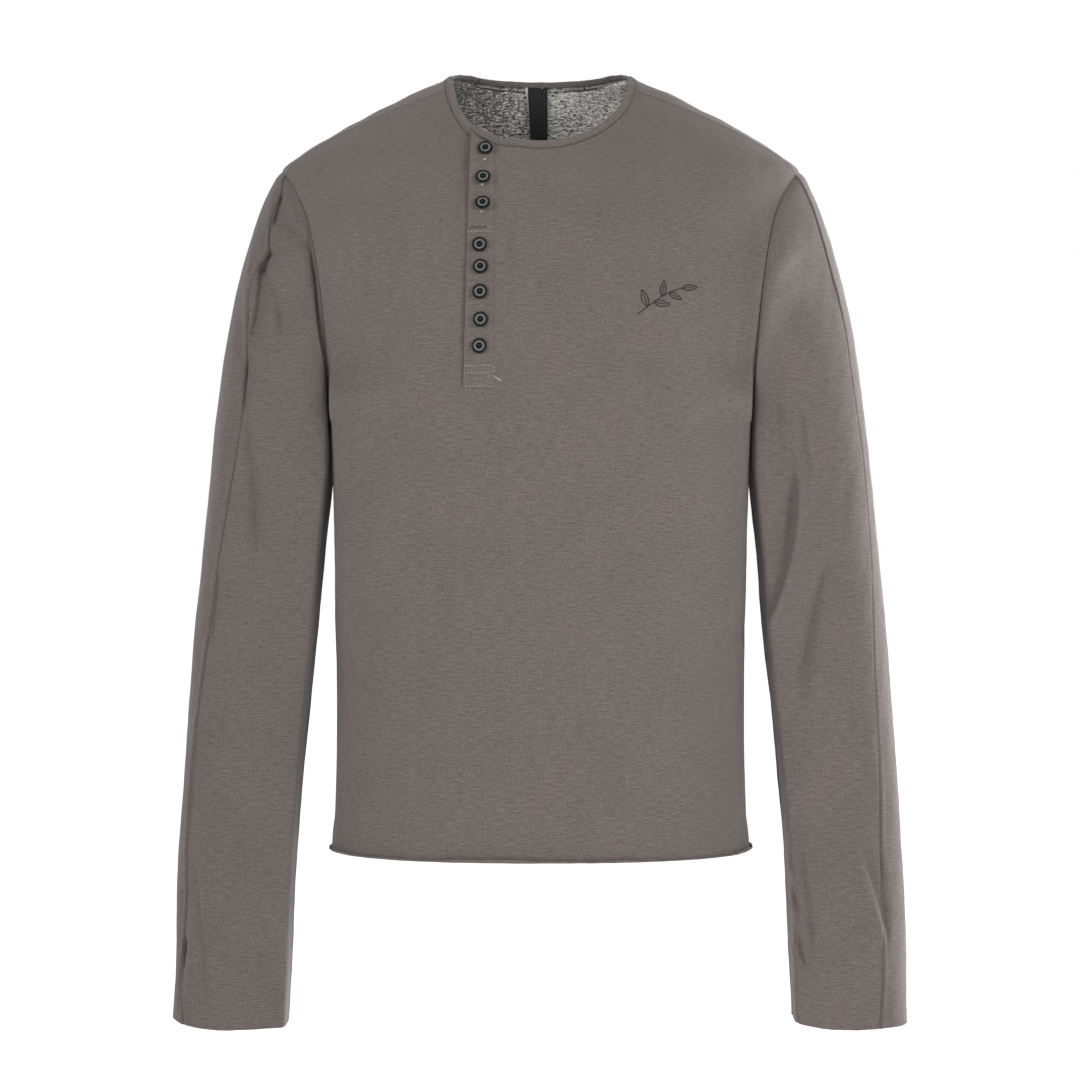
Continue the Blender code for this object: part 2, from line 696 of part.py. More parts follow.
def build_button(name, place, tilt, finish):
    """A round dished button, lying on the placket with its axis along the cloth's normal."""
    radius, height = BUTTON_PROFILE["radius"], BUTTON_PROFILE["height"]
    turns = np.linspace(0, 2 * np.pi, BUTTON_SEGMENTS, endpoint=False)
    points = {("ring", k, i): (radius[k] * np.cos(a), radius[k] * np.sin(a), height[k])
              for k in range(len(radius)) for i, a in enumerate(turns)}
    faces = []
    for i in range(BUTTON_SEGMENTS):
        after = (i + 1) % BUTTON_SEGMENTS
        for k in range(len(radius) - 1):
            faces.append([("ring", k, i), ("ring", k, after), ("ring", k + 1, after), ("ring", k + 1, i)])
    for k in (0, len(radius) - 1):
        faces.append([("ring", k, i) for i in range(BUTTON_SEGMENTS)])
    made = add_object(name, closed_mesh(name, points, faces), finish, 30.0)
    normal = form_normal(place)
    lean = np.radians(tilt)
    side = unit(np.cross([0.0, 0.0, 1.0], normal))
    up = np.cross(normal, side)
    axis = normal * np.cos(lean) + up * np.sin(lean)
    upright = np.cross(axis, side)
    raised = PLACKET_STANDOFF + PLACKET_CLOTH + BUTTON_STANDOFF + radius.max() * np.sin(lean)
    middle = place + normal * raised
    made.matrix_world = Matrix([
        (side[0], upright[0], axis[0], middle[0] * MM),
        (side[1], upright[1], axis[1], middle[1] * MM),
        (side[2], upright[2], axis[2], middle[2] * MM),
        (0, 0, 0, 1)])


def build_label(name, inset, left, right, length, lean, finish):
    """A flat strip hanging inside the back of the neck, leaning to one side towards its foot."""
    z = np.linspace(LABEL_TOP_Z, LABEL_TOP_Z - length, LABEL_ROWS + 1)
    slant = lean * (LABEL_TOP_Z - z) / length
    grid = np.stack([on_face(x + slant, z, BACK) for x in (left, (left + right) / 2, right)], axis=1)
    normals = form_normal(grid)
    wall(name, grid - normals * inset, grid - normals * (inset + LABEL_CLOTH), finish)


def build_shirt():
    for old in list(bpy.data.objects):
        bpy.data.objects.remove(old)
    jersey = material("jersey", colour(115, 107, 104), 0.9)
    band = material("binding_jersey", colour(113, 104, 101), 0.9)
    resin = material("button_resin", colour(70, 72, 72), 0.4)
    black = material("black_ribbon", colour(34, 34, 34), 0.7)
    white = material("white_ribbon", colour(214, 214, 212), 0.7)

    across = {side: armhole_inward(*sleeve_rings(side)) for side in (1, -1)}
    build_front({side: around[:ARMHOLE_ROWS + 1] for side, around in across.items()}, jersey)
    build_back({side: np.concatenate([around[:1], around[ARMHOLE_ROWS:][::-1]])
                for side, around in across.items()}, jersey)
    for side in (1, -1):
        build_sleeve(side, jersey)
    build_binding(band)
    placket_strip("placket_over", PLACKET_OVERHANG, PLACKET_STANDOFF, overlap_sag,
                  PLACKET_FOOT_Z, SEAM_GAP, jersey)
    placket_strip("placket_under", UNDERLAP_OVERHANG, -CLOTH - UNDERLAP_STANDOFF - PLACKET_CLOTH,
                  underlap_sag, PLACKET_FOOT_Z - UNDERLAP_OVERHANG, UNDERLAP_TOP_GAP, jersey)
    for k, (x, z, tilt) in enumerate(zip(*BUTTONS.values())):
        build_button(f"button_{k + 1}", on_face(x, z, FRONT), tilt, resin)
    build_label("care_label", **LABELS["care_label"], finish=white)
    build_label("neck_label", **LABELS["neck_label"], finish=black)


build_shirt()
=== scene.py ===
"""The looks of a long-sleeved henley shirt in taupe slub jersey, filled out as if worn.

The front faces -Y and the wearer's left is +X. Lengths are in millimetres until a mesh is made. Each cloth
piece is a fine grid on the shirt's form, moved in and out by its seams, creases and rolled edges, and then
made into a thin shell.
"""

import bpy
import numpy as np
from mathutils import Matrix, Vector


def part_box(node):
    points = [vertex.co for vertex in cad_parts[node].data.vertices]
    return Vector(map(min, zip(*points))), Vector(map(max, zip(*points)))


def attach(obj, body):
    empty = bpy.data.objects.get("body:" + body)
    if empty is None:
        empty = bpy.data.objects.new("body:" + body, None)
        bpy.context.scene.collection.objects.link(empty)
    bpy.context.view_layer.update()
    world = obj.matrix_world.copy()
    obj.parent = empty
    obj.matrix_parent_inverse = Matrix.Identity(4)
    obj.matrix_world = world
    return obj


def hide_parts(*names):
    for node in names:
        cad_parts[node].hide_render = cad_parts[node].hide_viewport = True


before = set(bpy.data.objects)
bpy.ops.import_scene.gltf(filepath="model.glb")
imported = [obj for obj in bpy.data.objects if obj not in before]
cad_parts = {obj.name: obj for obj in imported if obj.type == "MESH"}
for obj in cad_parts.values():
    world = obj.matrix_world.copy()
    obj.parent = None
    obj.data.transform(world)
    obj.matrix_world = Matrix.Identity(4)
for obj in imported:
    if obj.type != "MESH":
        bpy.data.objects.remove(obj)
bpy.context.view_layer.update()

# ======================================================================================================
# Front: one panel of thin slub jersey with a slot cut off-centre for the placket. It is sewn to the back at
# the shoulders and sides and to the sleeves round the armholes. Its hem is a raw edge, which rolls outward.

MM = 0.001
FRONT, BACK = -1, 1
JERSEY = 1.0  # thickness of one layer of cloth
HEM_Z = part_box("front")[0].z / MM
HEM_ROLL = 1.0  # radius of the roll at the hem
HEM_ROLL_START = 2.0  # how far above the hem's foot the cloth turns
ROLL_ROWS = 8  # rows of the grid round a rolled edge
UNDERARM_Z = -305.0
RIDGE_Z = -84.4  # where the armhole crosses the top of the shoulder
SHOULDER_SEAM_Z = -91.4
NECK_HALF_WIDTH, NECK_HALF_DEPTH = 83.0, 62.8
NECK_SIDE_Z, NECK_DROP = -4.4, 70.7  # the neck's height at the shoulders, and how far it drops in front
NECK_SEAM_ANGLE = 79.2  # degrees round the neckline from its front to the shoulder seam
UNDERLAP_SAG, OVERLAP_SAG = 11.2, 6.2  # how much lower the neck hangs at either side of the placket
OVERLAP_SAG_START, OVERLAP_SAG_SPAN = -8.0, 32.0  # degrees from the front
PLACKET_FOOT_Z, PLACKET_TOP_Z = -279.0, -54.0
SLOT_LEFT_X, SLOT_RIGHT_X = (-62.2, -56.8), (-39.5, -39.0)  # each at the slot's foot and at its top
SIDE_POWER, DEPTH_POWER = 2.4, 2.2  # of a level section's curve; an ellipse has 2


def table(columns, *rows):
    """Rows of numbers as named columns."""
    values = np.array(rows, float)
    return {name: values[:, i] for i, name in enumerate(columns.split())}


# Level sections of the body, from the hem up.
TORSO = table(
    "z half_width front back",
    (-671.5, 181.0, 117.0, 108.5),
    (-657.5, 180.2, 117.0, 108.2),
    (-640.0, 178.2, 117, 107),
    (-560.0, 176.6, 118, 104),
    (-457.0, 176.6, 121, 105),
    (-390.0, 177.2, 123, 109),
    (-352.0, 178.2, 125, 112),
    (-330.0, 179.1, 125.7, 113.5),
    (-305.0, 180.0, 126, 115),
    (-300.0, 181.3, 126, 115),
    (-295.0, 182.3, 125.8, 115),
    (-285.0, 183.9, 125.3, 115.5),
    (-266.0, 186.4, 124, 116),
    (-243.0, 190.9, 122, 116),
    (-197.0, 201.7, 116.5, 115),
    (-173.0, 208.5, 111, 113),
    (-153.0, 214.5, 107, 110.5),
    (-128.0, 221.0, 99, 106.5),
    (-107.0, 224.5, 91, 102),
    (-92.0, 225.2, 86, 98),
    (-84.4, 224.0, 82, 96),
    (-74.0, 211.8, 77, 93),
    (-54.8, 182.6, 62.5, 86),
    (-28.7, 134.4, 39, 75),
    (-12.4, 102.5, 23, 67),
    (-4.4, 83.0, 12, 62),
    (1.2, 72.0, 8, 60),
    (8.0, 62.0, 6, 56),
    (14.0, 53.0, 4, 51),
)

# How the back neckline rises above the form, from the middle out to the shoulder.
BACK_NECK = table(
    "x z",
    (0, 2.2),
    (17, 0.5),
    (35, -1.9),
    (40, -2.0),
    (48, -1.5),
    (55, 0.0),
    (62, 1.7),
    (68, 3.0),
    (76, 3.7),
    (80, 2.4),
    (83, 0.0),
)

# Where the armhole's seam runs, seen from the front.
ARMHOLE = table(
    "z x",
    (-305.0, 180.0),
    (-300.0, 180.7),
    (-295.0, 181.0),
    (-266.0, 181.6),
    (-243.0, 182.3),
    (-197.0, 186.0),
    (-173.0, 189.3),
    (-153.0, 193.0),
    (-128.0, 199.5),
    (-107.0, 209.0),
    (-92.0, 218.4),
    (-84.4, 224.0),
)

# Creases as they are seen from the front, each from (x0, z0) down to (x1, z1) with its middle bowed to +x.
# left and right are its widths on either side of that line, and a narrow side is the steep one. height is
# below 0 for a valley. lap pushes the crest over its steep side.
FRONT_CREASES = table(
    "x0 z0 x1 z1 bow left right height lap",
    # the right sleeve (at -X): two tucks below the shoulder, where the back laps over the front
    (-221.5, -106, -230, -137, 0, 1.4, 3.5, -4.8, 0),
    (-226, -104, -233, -133, 0, 6, 1.4, 2.6, 0.8),
    (-233.5, -128, -234, -160, 0, 6, 1.4, 1.4, 0.4),
    (-229.5, -156, -241, -176, 0, 1.5, 6, -6.5, 0),
    (-239, -166, -249.5, -238, 1.5, 1.5, 10, -5.5, 0),
    (-234, -154, -244, -173, 0, 7, 1.4, 3.2, 1),
    (-243, -170, -252.5, -222, -1, 7, 1.4, 2.8, 0.8),
    (-231, -162, -230, -206, 0, 1.8, 9, 2.6, 0.8),
    (-247, -152, -251.5, -256, -3, 1.6, 1.6, 1.2, 0),
    (-232, -175, -221, -230, 2, 5, 3.2, -4.5, 0),
    # soft pulls from its armhole, and the valley that runs down from the tucks
    (-222, -132, -194, -158, 0, 4, 4, -2.8, 0),
    (-213, -130, -192, -151, 0, 4, 4, 2.2, 0),
    (-216, -98, -203, -134, 0, 3, 5, -2, 0),
    (-250, -245, -253, -297, 0, 2, 3, -3.5, 0),
    (-253, -289, -243, -415, 3, 7, 3.5, -4.2, 0),
    (-247, -294, -239, -427, 3, 3, 10, 1.4, 0),
    (-256, -404, -250, -459, 0, 10, 10, -1.6, 0),
    # its seam sinks in places down to the cuff, with soft folds beside it
    (-275, -430, -282, -493, 0, 1.6, 2.6, -3, 0),
    (-281, -462, -287, -505, 0, 2, 2, -1.2, 0),
    (-292, -559, -301, -673, 0, 1.8, 2.2, -1.6, 0),
    (-304, -690, -308, -800, 0, 6, 8, -4, 0),
    (-304, -741, -309, -781, 0, 1.8, 2.6, -4.5, 0),
    (-309, -776, -306, -810, 0, 1.8, 2.2, -2.6, 0),
    (-297, -673, -284, -803, 2, 9, 3, -4.2, 0),
    (-302, -782, -293, -811, 0, 5, 5, 1.2, 0),
    # the left sleeve (at +X): drags from its armhole, and soft hollows inside the elbow
    (225, -164, 190, -202, 0, 6, 6, -1.4, 0),
    (227, -152, 203, -167, 0, 6, 6, 0.7, 0),
    (196, -240, 197, -387, 0, 8, 9, -1.6, 0),
    (200, -284, 203, -357, 0, 2.2, 5, -1.3, 0),
    (219, -289, 228, -359, 1, 3, 2.4, -2.3, 0),
    (212, -287, 221, -348, 1, 8, 3, 1.5, 0),
    # the elbow's fold laps over towards the body, with a deep valley inside it
    (213, -335, 189, -467, 10, 12, 3, -4, 0),
    (220, -345, 190, -487, 11, 2.8, 8, 6.5, 1.5),
    (196, -522, 206, -559, 0, 2, 3, 1.8, 0.8),
    (247, -415, 220, -536, -3, 3.4, 6, -5.6, 0),
    (255, -418, 243, -461, 0, 5, 5, -2, 0),
    (261, -342, 253, -423, 0, 4, 6, -1.3, 0),
    (209, -551, 214, -621, 0, 7, 7, -2, 0),
    # short folds stacked above its cuff, and a long soft ridge across to the outer seam
    (212, -627, 228, -777, -1, 1.8, 4, 5.4, 0.6),
    (216, -630, 233, -777, -1, 3, 4, -2, 0),
    (207, -668, 222, -707, 0, 4, 2.4, 2.2, 0.6),
    (211, -699, 224, -740, 0, 4, 2.4, 2.2, 0.6),
    (212, -747, 227, -779, 0, 4, 2.4, 2.2, 0.6),
    (208, -684, 220, -721, 0, 3, 3, -1.8, 0),
    (211, -721, 222, -753, 0, 3, 3, -1.5, 0),
    (263, -655, 295, -757, 2, 9, 3, 3, 0.8),
    (275, -662, 293, -736, 0, 5, 5, -2.4, 0),
    (291, -670, 294, -759, 0, 2, 2, -3, 0),
    (281, -559, 287, -631, 0, 6, 4, 1.2, 0),
    # the body: faint drags below the chest and a dent in each side
    (-120, -300, -96, -560, 10, 34, 26, -0.7, 0),
    (-30, -420, -44, -640, 6, 30, 38, 0.6, 0),
    (72, -330, 96, -610, -8, 34, 30, -0.7, 0),
    (161, -440, 164.5, -690, 0, 12, 2.6, 1.8, 0),
    (150, -478, 182, -481, 0, 12, 12, -3, 0),
    (-182, -512, -152, -506, 0, 14, 14, -1.6, 0),
)

# Creases of the backs, given in the same way as if the front were clear.
BACK_CREASES = table(
    "x0 z0 x1 z1 bow left right height lap",
    # the backs of the sleeves
    (232, -270, 243, -366, 0, 12, 6, -4.5, 0),
    (214, -392, 246, -470, 0, 6, 12, -4.5, 0),
    (222, -300, 250, -352, 3, 3, 8, 2.6, 1.4),
    (218, -372, 262, -424, 4, 4, 9, 2.8, 1.4),
    (280, -520, 262, -640, 0, 12, 7, 3.8, 0),
    (236, -668, 252, -770, 0, 11, 5, -4.5, 0),
    (230, -560, 246, -650, 3, 8, 3, 2.8, 1.4),
    (262, -690, 270, -778, 2, 9, 3, 2.4, 1),
    (-226, -262, -243, -352, 0, 6, 12, -4.5, 0),
    (-250, -430, -222, -505, 0, 12, 7, 3.8, 0),
    (-214, -330, -240, -420, -3, 3, 8, 2.8, 1.4),
    (-222, -410, -264, -452, -4, 9, 4, 2.6, 1.2),
    (-262, -560, -281, -668, 0, 6, 12, -4.2, 0),
    (-247, -690, -262, -785, 0, 5, 11, -4.5, 0),
    (-228, -600, -240, -700, 2, 8, 3, 2.6, 1.4),
    # the back: drags from the shoulder blades and soft waves above the hem
    (-128, -170, -70, -330, 12, 22, 14, -2.6, 0),
    (126, -175, 84, -350, -10, 14, 24, -2.6, 0),
    (-166, -226, -96, -290, 6, 9, 4, 2.2, 0.8),
    (164, -236, 104, -296, -6, 4, 9, 2.0, 0.8),
    (-84, -452, 6, -486, 10, 12, 7, -2.0, 0),
    (12, -430, 96, -470, 8, 9, 12, 1.8, 0),
    (-52, -360, -66, -620, 8, 34, 30, 1.5, 0),
    (36, -400, 58, -640, -8, 30, 36, -1.6, 0),
    (142, -350, 128, -560, 5, 16, 12, 1.6, 0),
    (-150, -350, -138, -540, -5, 12, 16, 1.6, 0),
)


def unit(vectors):
    return vectors / np.linalg.norm(vectors, axis=-1, keepdims=True)


def dot(a, b):
    return np.sum(a * b, axis=-1, keepdims=True)


def smooth(share):
    """0 up to 0 and 1 from 1 on, with a rise between that starts and ends gently."""
    share = np.clip(share, 0, 1)
    return share * share * (3 - 2 * share)


def bell(distance, width):
    """1 at no distance, fading evenly on both sides."""
    return np.exp(-((distance / width) ** 2))


def band(z, foot, foot_fade, top, top_fade):
    """1 between two heights and 0 below the foot and above the top, with a fade inside each."""
    return smooth((z - foot) / foot_fade) * smooth((top - z) / top_fade)


def column(rows, name, z):
    """One column of a table as a smooth curve of z that never overshoots its rows."""
    order = np.argsort(rows["z"])
    heights, sizes = rows["z"][order], rows[name][order]
    z = np.clip(z, heights[0], heights[-1])
    step = np.diff(heights)
    slope = np.diff(sizes) / step
    total = slope[:-1] + slope[1:]
    shared = slope[:-1] * slope[1:]
    middle = np.where(shared > 0, 2 * shared / np.where(total == 0, 1, total), 0)
    tangent = np.concatenate([slope[:1], middle, slope[-1:]])
    i = np.clip(np.searchsorted(heights, z, side="right") - 1, 0, len(step) - 1)
    t = (z - heights[i]) / step[i]
    rise = (1 + 2 * t) * (1 - t) ** 2 * sizes[i] + t * t * (3 - 2 * t) * sizes[i + 1]
    return rise + step[i] * t * (1 - t) * ((1 - t) * tangent[i] - t * tangent[i + 1])


def form_value(points):
    """Below 0 inside the body's form, above 0 outside it."""
    x, y, z = np.moveaxis(points, -1, 0)
    depth = np.where(y < 0, column(TORSO, "front", z), column(TORSO, "back", z))
    across = np.abs(x) / column(TORSO, "half_width", z)
    return across**SIDE_POWER + (np.abs(y) / depth) ** DEPTH_POWER - 1


def form_slope(points):
    """How fast the form's value rises along x, y and z."""
    step = 0.05
    parts = [form_value(points + step * axis) - form_value(points - step * axis) for axis in np.eye(3)]
    return np.stack(parts, axis=-1) / (2 * step)


def form_normal(points):
    return unit(form_slope(points))


def onto_form(points):
    """The points brought onto the form in a few steps straight along its slope."""
    for _ in range(8):
        slope = form_slope(points)
        points = points - form_value(points)[..., None] * slope / dot(slope, slope)
    return points


def on_face(x, z, face):
    """The form's points at x and z, on its front or its back."""
    x, z = np.broadcast_arrays(np.asarray(x, float), np.asarray(z, float))
    depth = column(TORSO, "front" if face == FRONT else "back", z)
    left_over = np.clip(1 - (np.abs(x) / column(TORSO, "half_width", z)) ** SIDE_POWER, 0, None)
    return np.stack([x, face * depth * left_over ** (1 / DEPTH_POWER), z], axis=-1)


def length_of(curve):
    return np.linalg.norm(np.diff(curve, axis=0), axis=-1).sum()


def shares_of(curve):
    """How far along a curve each of its points lies, from 0 to 1."""
    steps = np.linalg.norm(np.diff(curve, axis=0), axis=-1)
    covered = np.concatenate([[0], np.cumsum(steps)])
    return covered / covered[-1]


def along(curve, shares):
    """A curve's points at shares of its length."""
    places = shares_of(curve)
    return np.stack([np.interp(shares, places, curve[:, k]) for k in range(3)], axis=1)


def crowded_ends(first, last):
    """Numbers from first to last that lie closer together towards both."""
    return first + (last - first) * (1 - np.cos(np.linspace(0, np.pi, 240))) / 2


def stops(length, size, fine_start=True, fine_end=True):
    """Shares from 0 to 1 in steps of about size, with finer ones beside a seam at either end."""
    fine = np.array([0.0, 0.5, 1.1, 1.8, 2.7, 3.9, 5.4])
    start = fine if fine_start else fine[:1]
    end = length - (fine if fine_end else fine[:1])[::-1]
    between = np.linspace(start[-1], end[0], max(2, round((end[0] - start[-1]) / size) + 1))
    return np.concatenate([start, between[1:-1], end]) / length


def patch(bottom, top, left, right, u, v):
    """A grid of rows between four edge curves, with its columns at shares u and its rows at shares v."""
    u, v = u[None, :, None], v[:, None, None]
    across = (1 - v) * bottom[None] + v * top[None]
    upward = (1 - u) * left[:, None] + u * right[:, None]
    corners = (1 - v) * ((1 - u) * bottom[0] + u * bottom[-1]) + v * ((1 - u) * top[0] + u * top[-1])
    return across + upward - corners


def mirrored(points):
    return points * np.array([-1, 1, 1])


def armhole(first_z, last_z, face):
    """The +X armhole's seam between two heights, on the front or the back."""
    z = crowded_ends(first_z, last_z)
    return on_face(column(ARMHOLE, "x", z), z, face)


def neckline(angles, sag=0.0):
    """The neckline's seam on the form; angles are degrees round from the front, above 0 towards +X."""
    turn = np.radians(np.asarray(angles, float))
    x = NECK_HALF_WIDTH * np.sin(turn)
    front = on_face(x, NECK_SIDE_Z - NECK_DROP * np.clip(np.cos(turn), 0, 1) - sag, FRONT)
    low, high = np.full(x.shape, TORSO["z"].min()), np.full(x.shape, TORSO["z"].max())
    y = NECK_HALF_DEPTH * np.clip(-np.cos(turn), 0, 1)
    for _ in range(40):
        z = (low + high) / 2
        outside = form_value(np.stack([x, y, z], axis=-1)) > 0
        low, high = np.where(outside, low, z), np.where(outside, z, high)
    rise = np.interp(np.abs(x), BACK_NECK["x"], BACK_NECK["z"])
    back = np.stack([x, y, (low + high) / 2 + rise], axis=-1)
    return np.where(np.cos(turn)[..., None] >= 0, front, back)


def neck_angle(x):
    """Degrees round the neckline in front, at x."""
    return np.degrees(np.arcsin(x / NECK_HALF_WIDTH))


def underlap_sag(angles):
    """How much lower the neckline hangs from the -X shoulder to the slot."""
    share = (NECK_SEAM_ANGLE + angles) / (NECK_SEAM_ANGLE + neck_angle(SLOT_LEFT_X[1]))
    return UNDERLAP_SAG * np.clip(share, 0, 1) ** 0.9


def overlap_sag(angles):
    """How much lower it hangs from the +X side to the over-lap's free edge."""
    return OVERLAP_SAG * smooth((OVERLAP_SAG_START - angles) / OVERLAP_SAG_SPAN)


def neck_height(x, sag):
    """The neckline's height in front, at x."""
    angles = neck_angle(x)
    return NECK_SIDE_Z - NECK_DROP * np.cos(np.radians(angles)) - sag(angles)


def slot_x(edge, z):
    """Where an edge of the placket's slot runs at height z."""
    return np.interp(z, (PLACKET_FOOT_Z, PLACKET_TOP_Z), edge)


def slot_line(edge, sag, shares):
    """An edge of the placket's slot, from the underarm's height up to the neckline."""
    top = neck_height(slot_x(edge, PLACKET_TOP_Z), sag)
    heights = UNDERARM_Z + shares * (top - UNDERARM_Z)
    return on_face(slot_x(edge, heights), heights, FRONT)


def spans(points, axis):
    """Distances along the rows (axis 1) or up the columns (axis 0) of a grid."""
    steps = np.linalg.norm(np.diff(points, axis=axis), axis=-1)
    pad = [(0, 0), (0, 0)]
    pad[axis] = (1, 0)
    return np.cumsum(np.pad(steps, pad), axis=axis)


CREASE_FADE, CREASE_BLUNTNESS = 0.28, 0.25  # over what share of its length it fades, and from how much
CREASE_FACING = 2.5  # how soon it is full as the cloth turns to its face
LAP_WIDTH = 0.7  # of the wider side


def creased(points, normals, ways=None):
    """How the creases move the cloth: out or in along its normals, or along the given ways, and sideways
    where a fold laps over."""
    ways = normals if ways is None else ways
    move = np.zeros(points.shape)
    place = points[..., [0, 2]]
    rows = [(FRONT, *row) for row in zip(*FRONT_CREASES.values())]
    rows += [(BACK, *row) for row in zip(*BACK_CREASES.values())]
    for face, x0, z0, x1, z1, bow, left, right, height, lap in rows:
        run = np.array([x1 - x0, z1 - z0])
        length = np.hypot(*run)
        run = run / length
        away = place - np.array([x0, z0])
        share = (away @ run) / length
        side = run[0] * away[..., 1] - run[1] * away[..., 0] - 4 * bow * share * (1 - share)
        fade = smooth(np.minimum(share, 1 - share) / CREASE_FADE + CREASE_BLUNTNESS)
        fade *= np.clip(face * normals[..., 1] * CREASE_FACING, 0, 1)
        move += (height * fade * bell(side, np.where(side < 0, left, right)))[..., None] * ways
        if lap:
            across = np.array([-run[1], 0, run[0]]) * (1 if right < left else -1)
            across = unit(across - dot(across, normals) * normals)
            move += (lap * fade * bell(side, LAP_WIDTH * max(left, right)))[..., None] * across
    return move


# Waves of the slight unevenness of hanging jersey: their height, and their turns for each millimetre.
RIPPLES = table(
    "size kx ky kz phase",
    (0.34, 0.010, 0.020, 0.0035, 0.4),
    (0.28, -0.017, 0.012, 0.0060, 2.1),
    (0.20, 0.031, -0.026, 0.0090, 4.0),
    (0.13, 0.044, 0.038, -0.016, 1.3),
    (0.09, -0.062, 0.055, 0.031, 5.2),
)


def ripple(points):
    """How far the unevenness lifts the cloth, the same on both sides of a seam."""
    lift = np.zeros(points.shape[:-1])
    for size, kx, ky, kz, phase in zip(*RIPPLES.values()):
        lift += size * np.sin(2 * np.pi * (points @ np.array([kx, ky, kz])) + phase)
    return lift


def flank_forward(distance, z, size, turn, reach):
    """Beside an underarm seam the cloth comes straight forward before it turns, below the armpit."""
    depth = size * band(z, foot=-560, foot_fade=170, top=-256, top_fade=34)
    return depth * (1 - bell(distance, turn)) * bell(distance, reach)


# How far forward the cloth comes beside the armhole in front, at each side.
ARMHOLE_FORWARD = {1: 24.0, -1: 9.0}


def armhole_forward(points, distance, reach):
    """The swell in front of the armpit, which the front and the sleeve share."""
    size = np.where(points[..., 0] > 0, ARMHOLE_FORWARD[1], ARMHOLE_FORWARD[-1])
    size = size * band(points[..., 2], foot=UNDERARM_Z + 2, foot_fade=50, top=-115, top_fade=70)
    return size * (points[..., 1] < 0) * bell(distance, reach)


SEAM_RIDGE, SEAM_RIDGE_WIDTH = 2.2, 1.3  # where the ridge beside a seam lies, for each width of its groove
SEAM_SHADE_WIDTH = 0.7


def seam_lift(distance, depth, width, lip):
    """A groove along a seam, and the ridge that its folded allowance makes beside it."""
    ridge = lip * bell(distance - SEAM_RIDGE * width, SEAM_RIDGE_WIDTH * width)
    return ridge - depth * bell(distance, width)


def seam_shade(distance):
    """Painted shade along a seam's groove, from 0 to 1; the over-lap also takes it as the shape of a dent.
    """
    return bell(distance, SEAM_SHADE_WIDTH)


def outward(points, rough):
    """Unit normals of a grid, all turned to the side that the rough directions point to."""
    normals = unit(np.cross(np.gradient(points, axis=1), np.gradient(points, axis=0)))
    return normals * np.sign(np.sum(normals * rough))


# How far round a raw edge rolls, in degrees, and the waves by which that varies round the hem.
ROLL_TURN = 176.0
ROLL_WAVES = table("size waves phase", (26, 3, 0.7), (18, 7, 2.4), (10, 17, 0))


def roll_turn(points, middle):
    """How far round a raw edge rolls at each of its points, as uneven along the edge as jersey is."""
    angle = np.arctan2(points[:, 1] - middle[1], points[:, 0] - middle[0])
    turn = np.full(len(points), ROLL_TURN)
    for size, waves, phase in zip(*ROLL_WAVES.values()):
        turn += size * np.sin(waves * angle + phase)
    return turn


SHARP_TURN = np.radians(55)  # between two faces of cloth, from which their edge shows


def new_piece(name, points, faces):
    """A smooth object from points in millimetres."""
    mesh = bpy.data.meshes.new(name)
    mesh.from_pydata((points.reshape(-1, 3) * MM).tolist(), [], faces)
    mesh.shade_smooth()
    piece = bpy.data.objects.new(name, mesh)
    bpy.context.scene.collection.objects.link(piece)
    return piece


def lay_cloth(mesh, places, shade, second):
    """Gives a mesh each corner's place on the flat cloth, each point's painted shade along seams, and the
    second material on the faces for which second is 1."""
    mesh.uv_layers.new(name="cloth").uv.foreach_set("vector", (places * MM).ravel())
    mesh.attributes.new("seam", "FLOAT", "POINT").data.foreach_set("value", shade)
    mesh.polygons.foreach_set("material_index", second.astype(np.int32))
    mesh.set_sharp_from_angle(angle=SHARP_TURN)


def shell(name, outer, inner, cloth, shade, missing=None, allowance=(0, 0)):
    """A closed shell between two grids, without the cells that are missing. cloth holds each point's place
    on the flat cloth. Inside, the folded seam allowances show the cloth's face on as many of the last rows,
    and of the columns at each side, as allowance says."""
    rows, columns = outer.shape[:2]
    there = np.ones((rows - 1, columns - 1), bool) if missing is None else ~missing
    count = rows * columns
    index = np.arange(count).reshape(rows, columns)
    ring = [index[:-1, :-1], index[:-1, 1:], index[1:, 1:], index[1:, :-1]]
    quads = np.stack(ring, axis=-1)[there]
    faces = [quads, quads[:, ::-1] + count]
    framed = np.pad(there, 1)
    for k, (di, dj) in enumerate([(-1, 0), (0, 1), (1, 0), (0, -1)]):
        edge = there & ~framed[1 + di:rows + di, 1 + dj:columns + dj]
        a, b = ring[k][edge], ring[(k + 1) % 4][edge]
        faces.append(np.stack([b, a, a + count, b + count], axis=-1))
    is_inner = np.concatenate([np.full(len(part), k == 1) for k, part in enumerate(faces)])
    row, across = np.divmod(quads[:, 0], columns)
    is_inner[len(quads):2 * len(quads)] = (
        (row >= ROLL_ROWS) & (row < rows - 1 - allowance[0])
        & (across >= allowance[1]) & (across < columns - 1 - allowance[1]))
    faces = np.concatenate(faces)
    points = np.concatenate([outer.reshape(-1, 3), inner.reshape(-1, 3)])
    a, b, c = points[quads[:, 0]], points[quads[:, 1]], points[quads[:, 3]]
    if np.sum(np.cross(b - a, c - a) * (outer - inner).reshape(-1, 3)[quads[:, 0]]) < 0:
        faces = faces[:, ::-1]
    used, faces = np.unique(faces, return_inverse=True)
    faces = faces.reshape(-1, 4)
    cloth = np.tile(cloth.reshape(-1, 2), (2, 1))[used]
    shade = np.tile(shade.reshape(-1), 2)[used]
    piece = new_piece(name, points[used], faces.tolist())
    lay_cloth(piece.data, cloth[faces.ravel()], shade, is_inner)
    return piece


SHOULDER_Z, SHOULDER_SPAN = -150.0, 80.0  # from where, and over what height, cloth turns over the shoulders
SHOULDER_LEAN, SHOULDER_DEPTH = 0.6, 100.0  # how far it then runs back, and from what depth


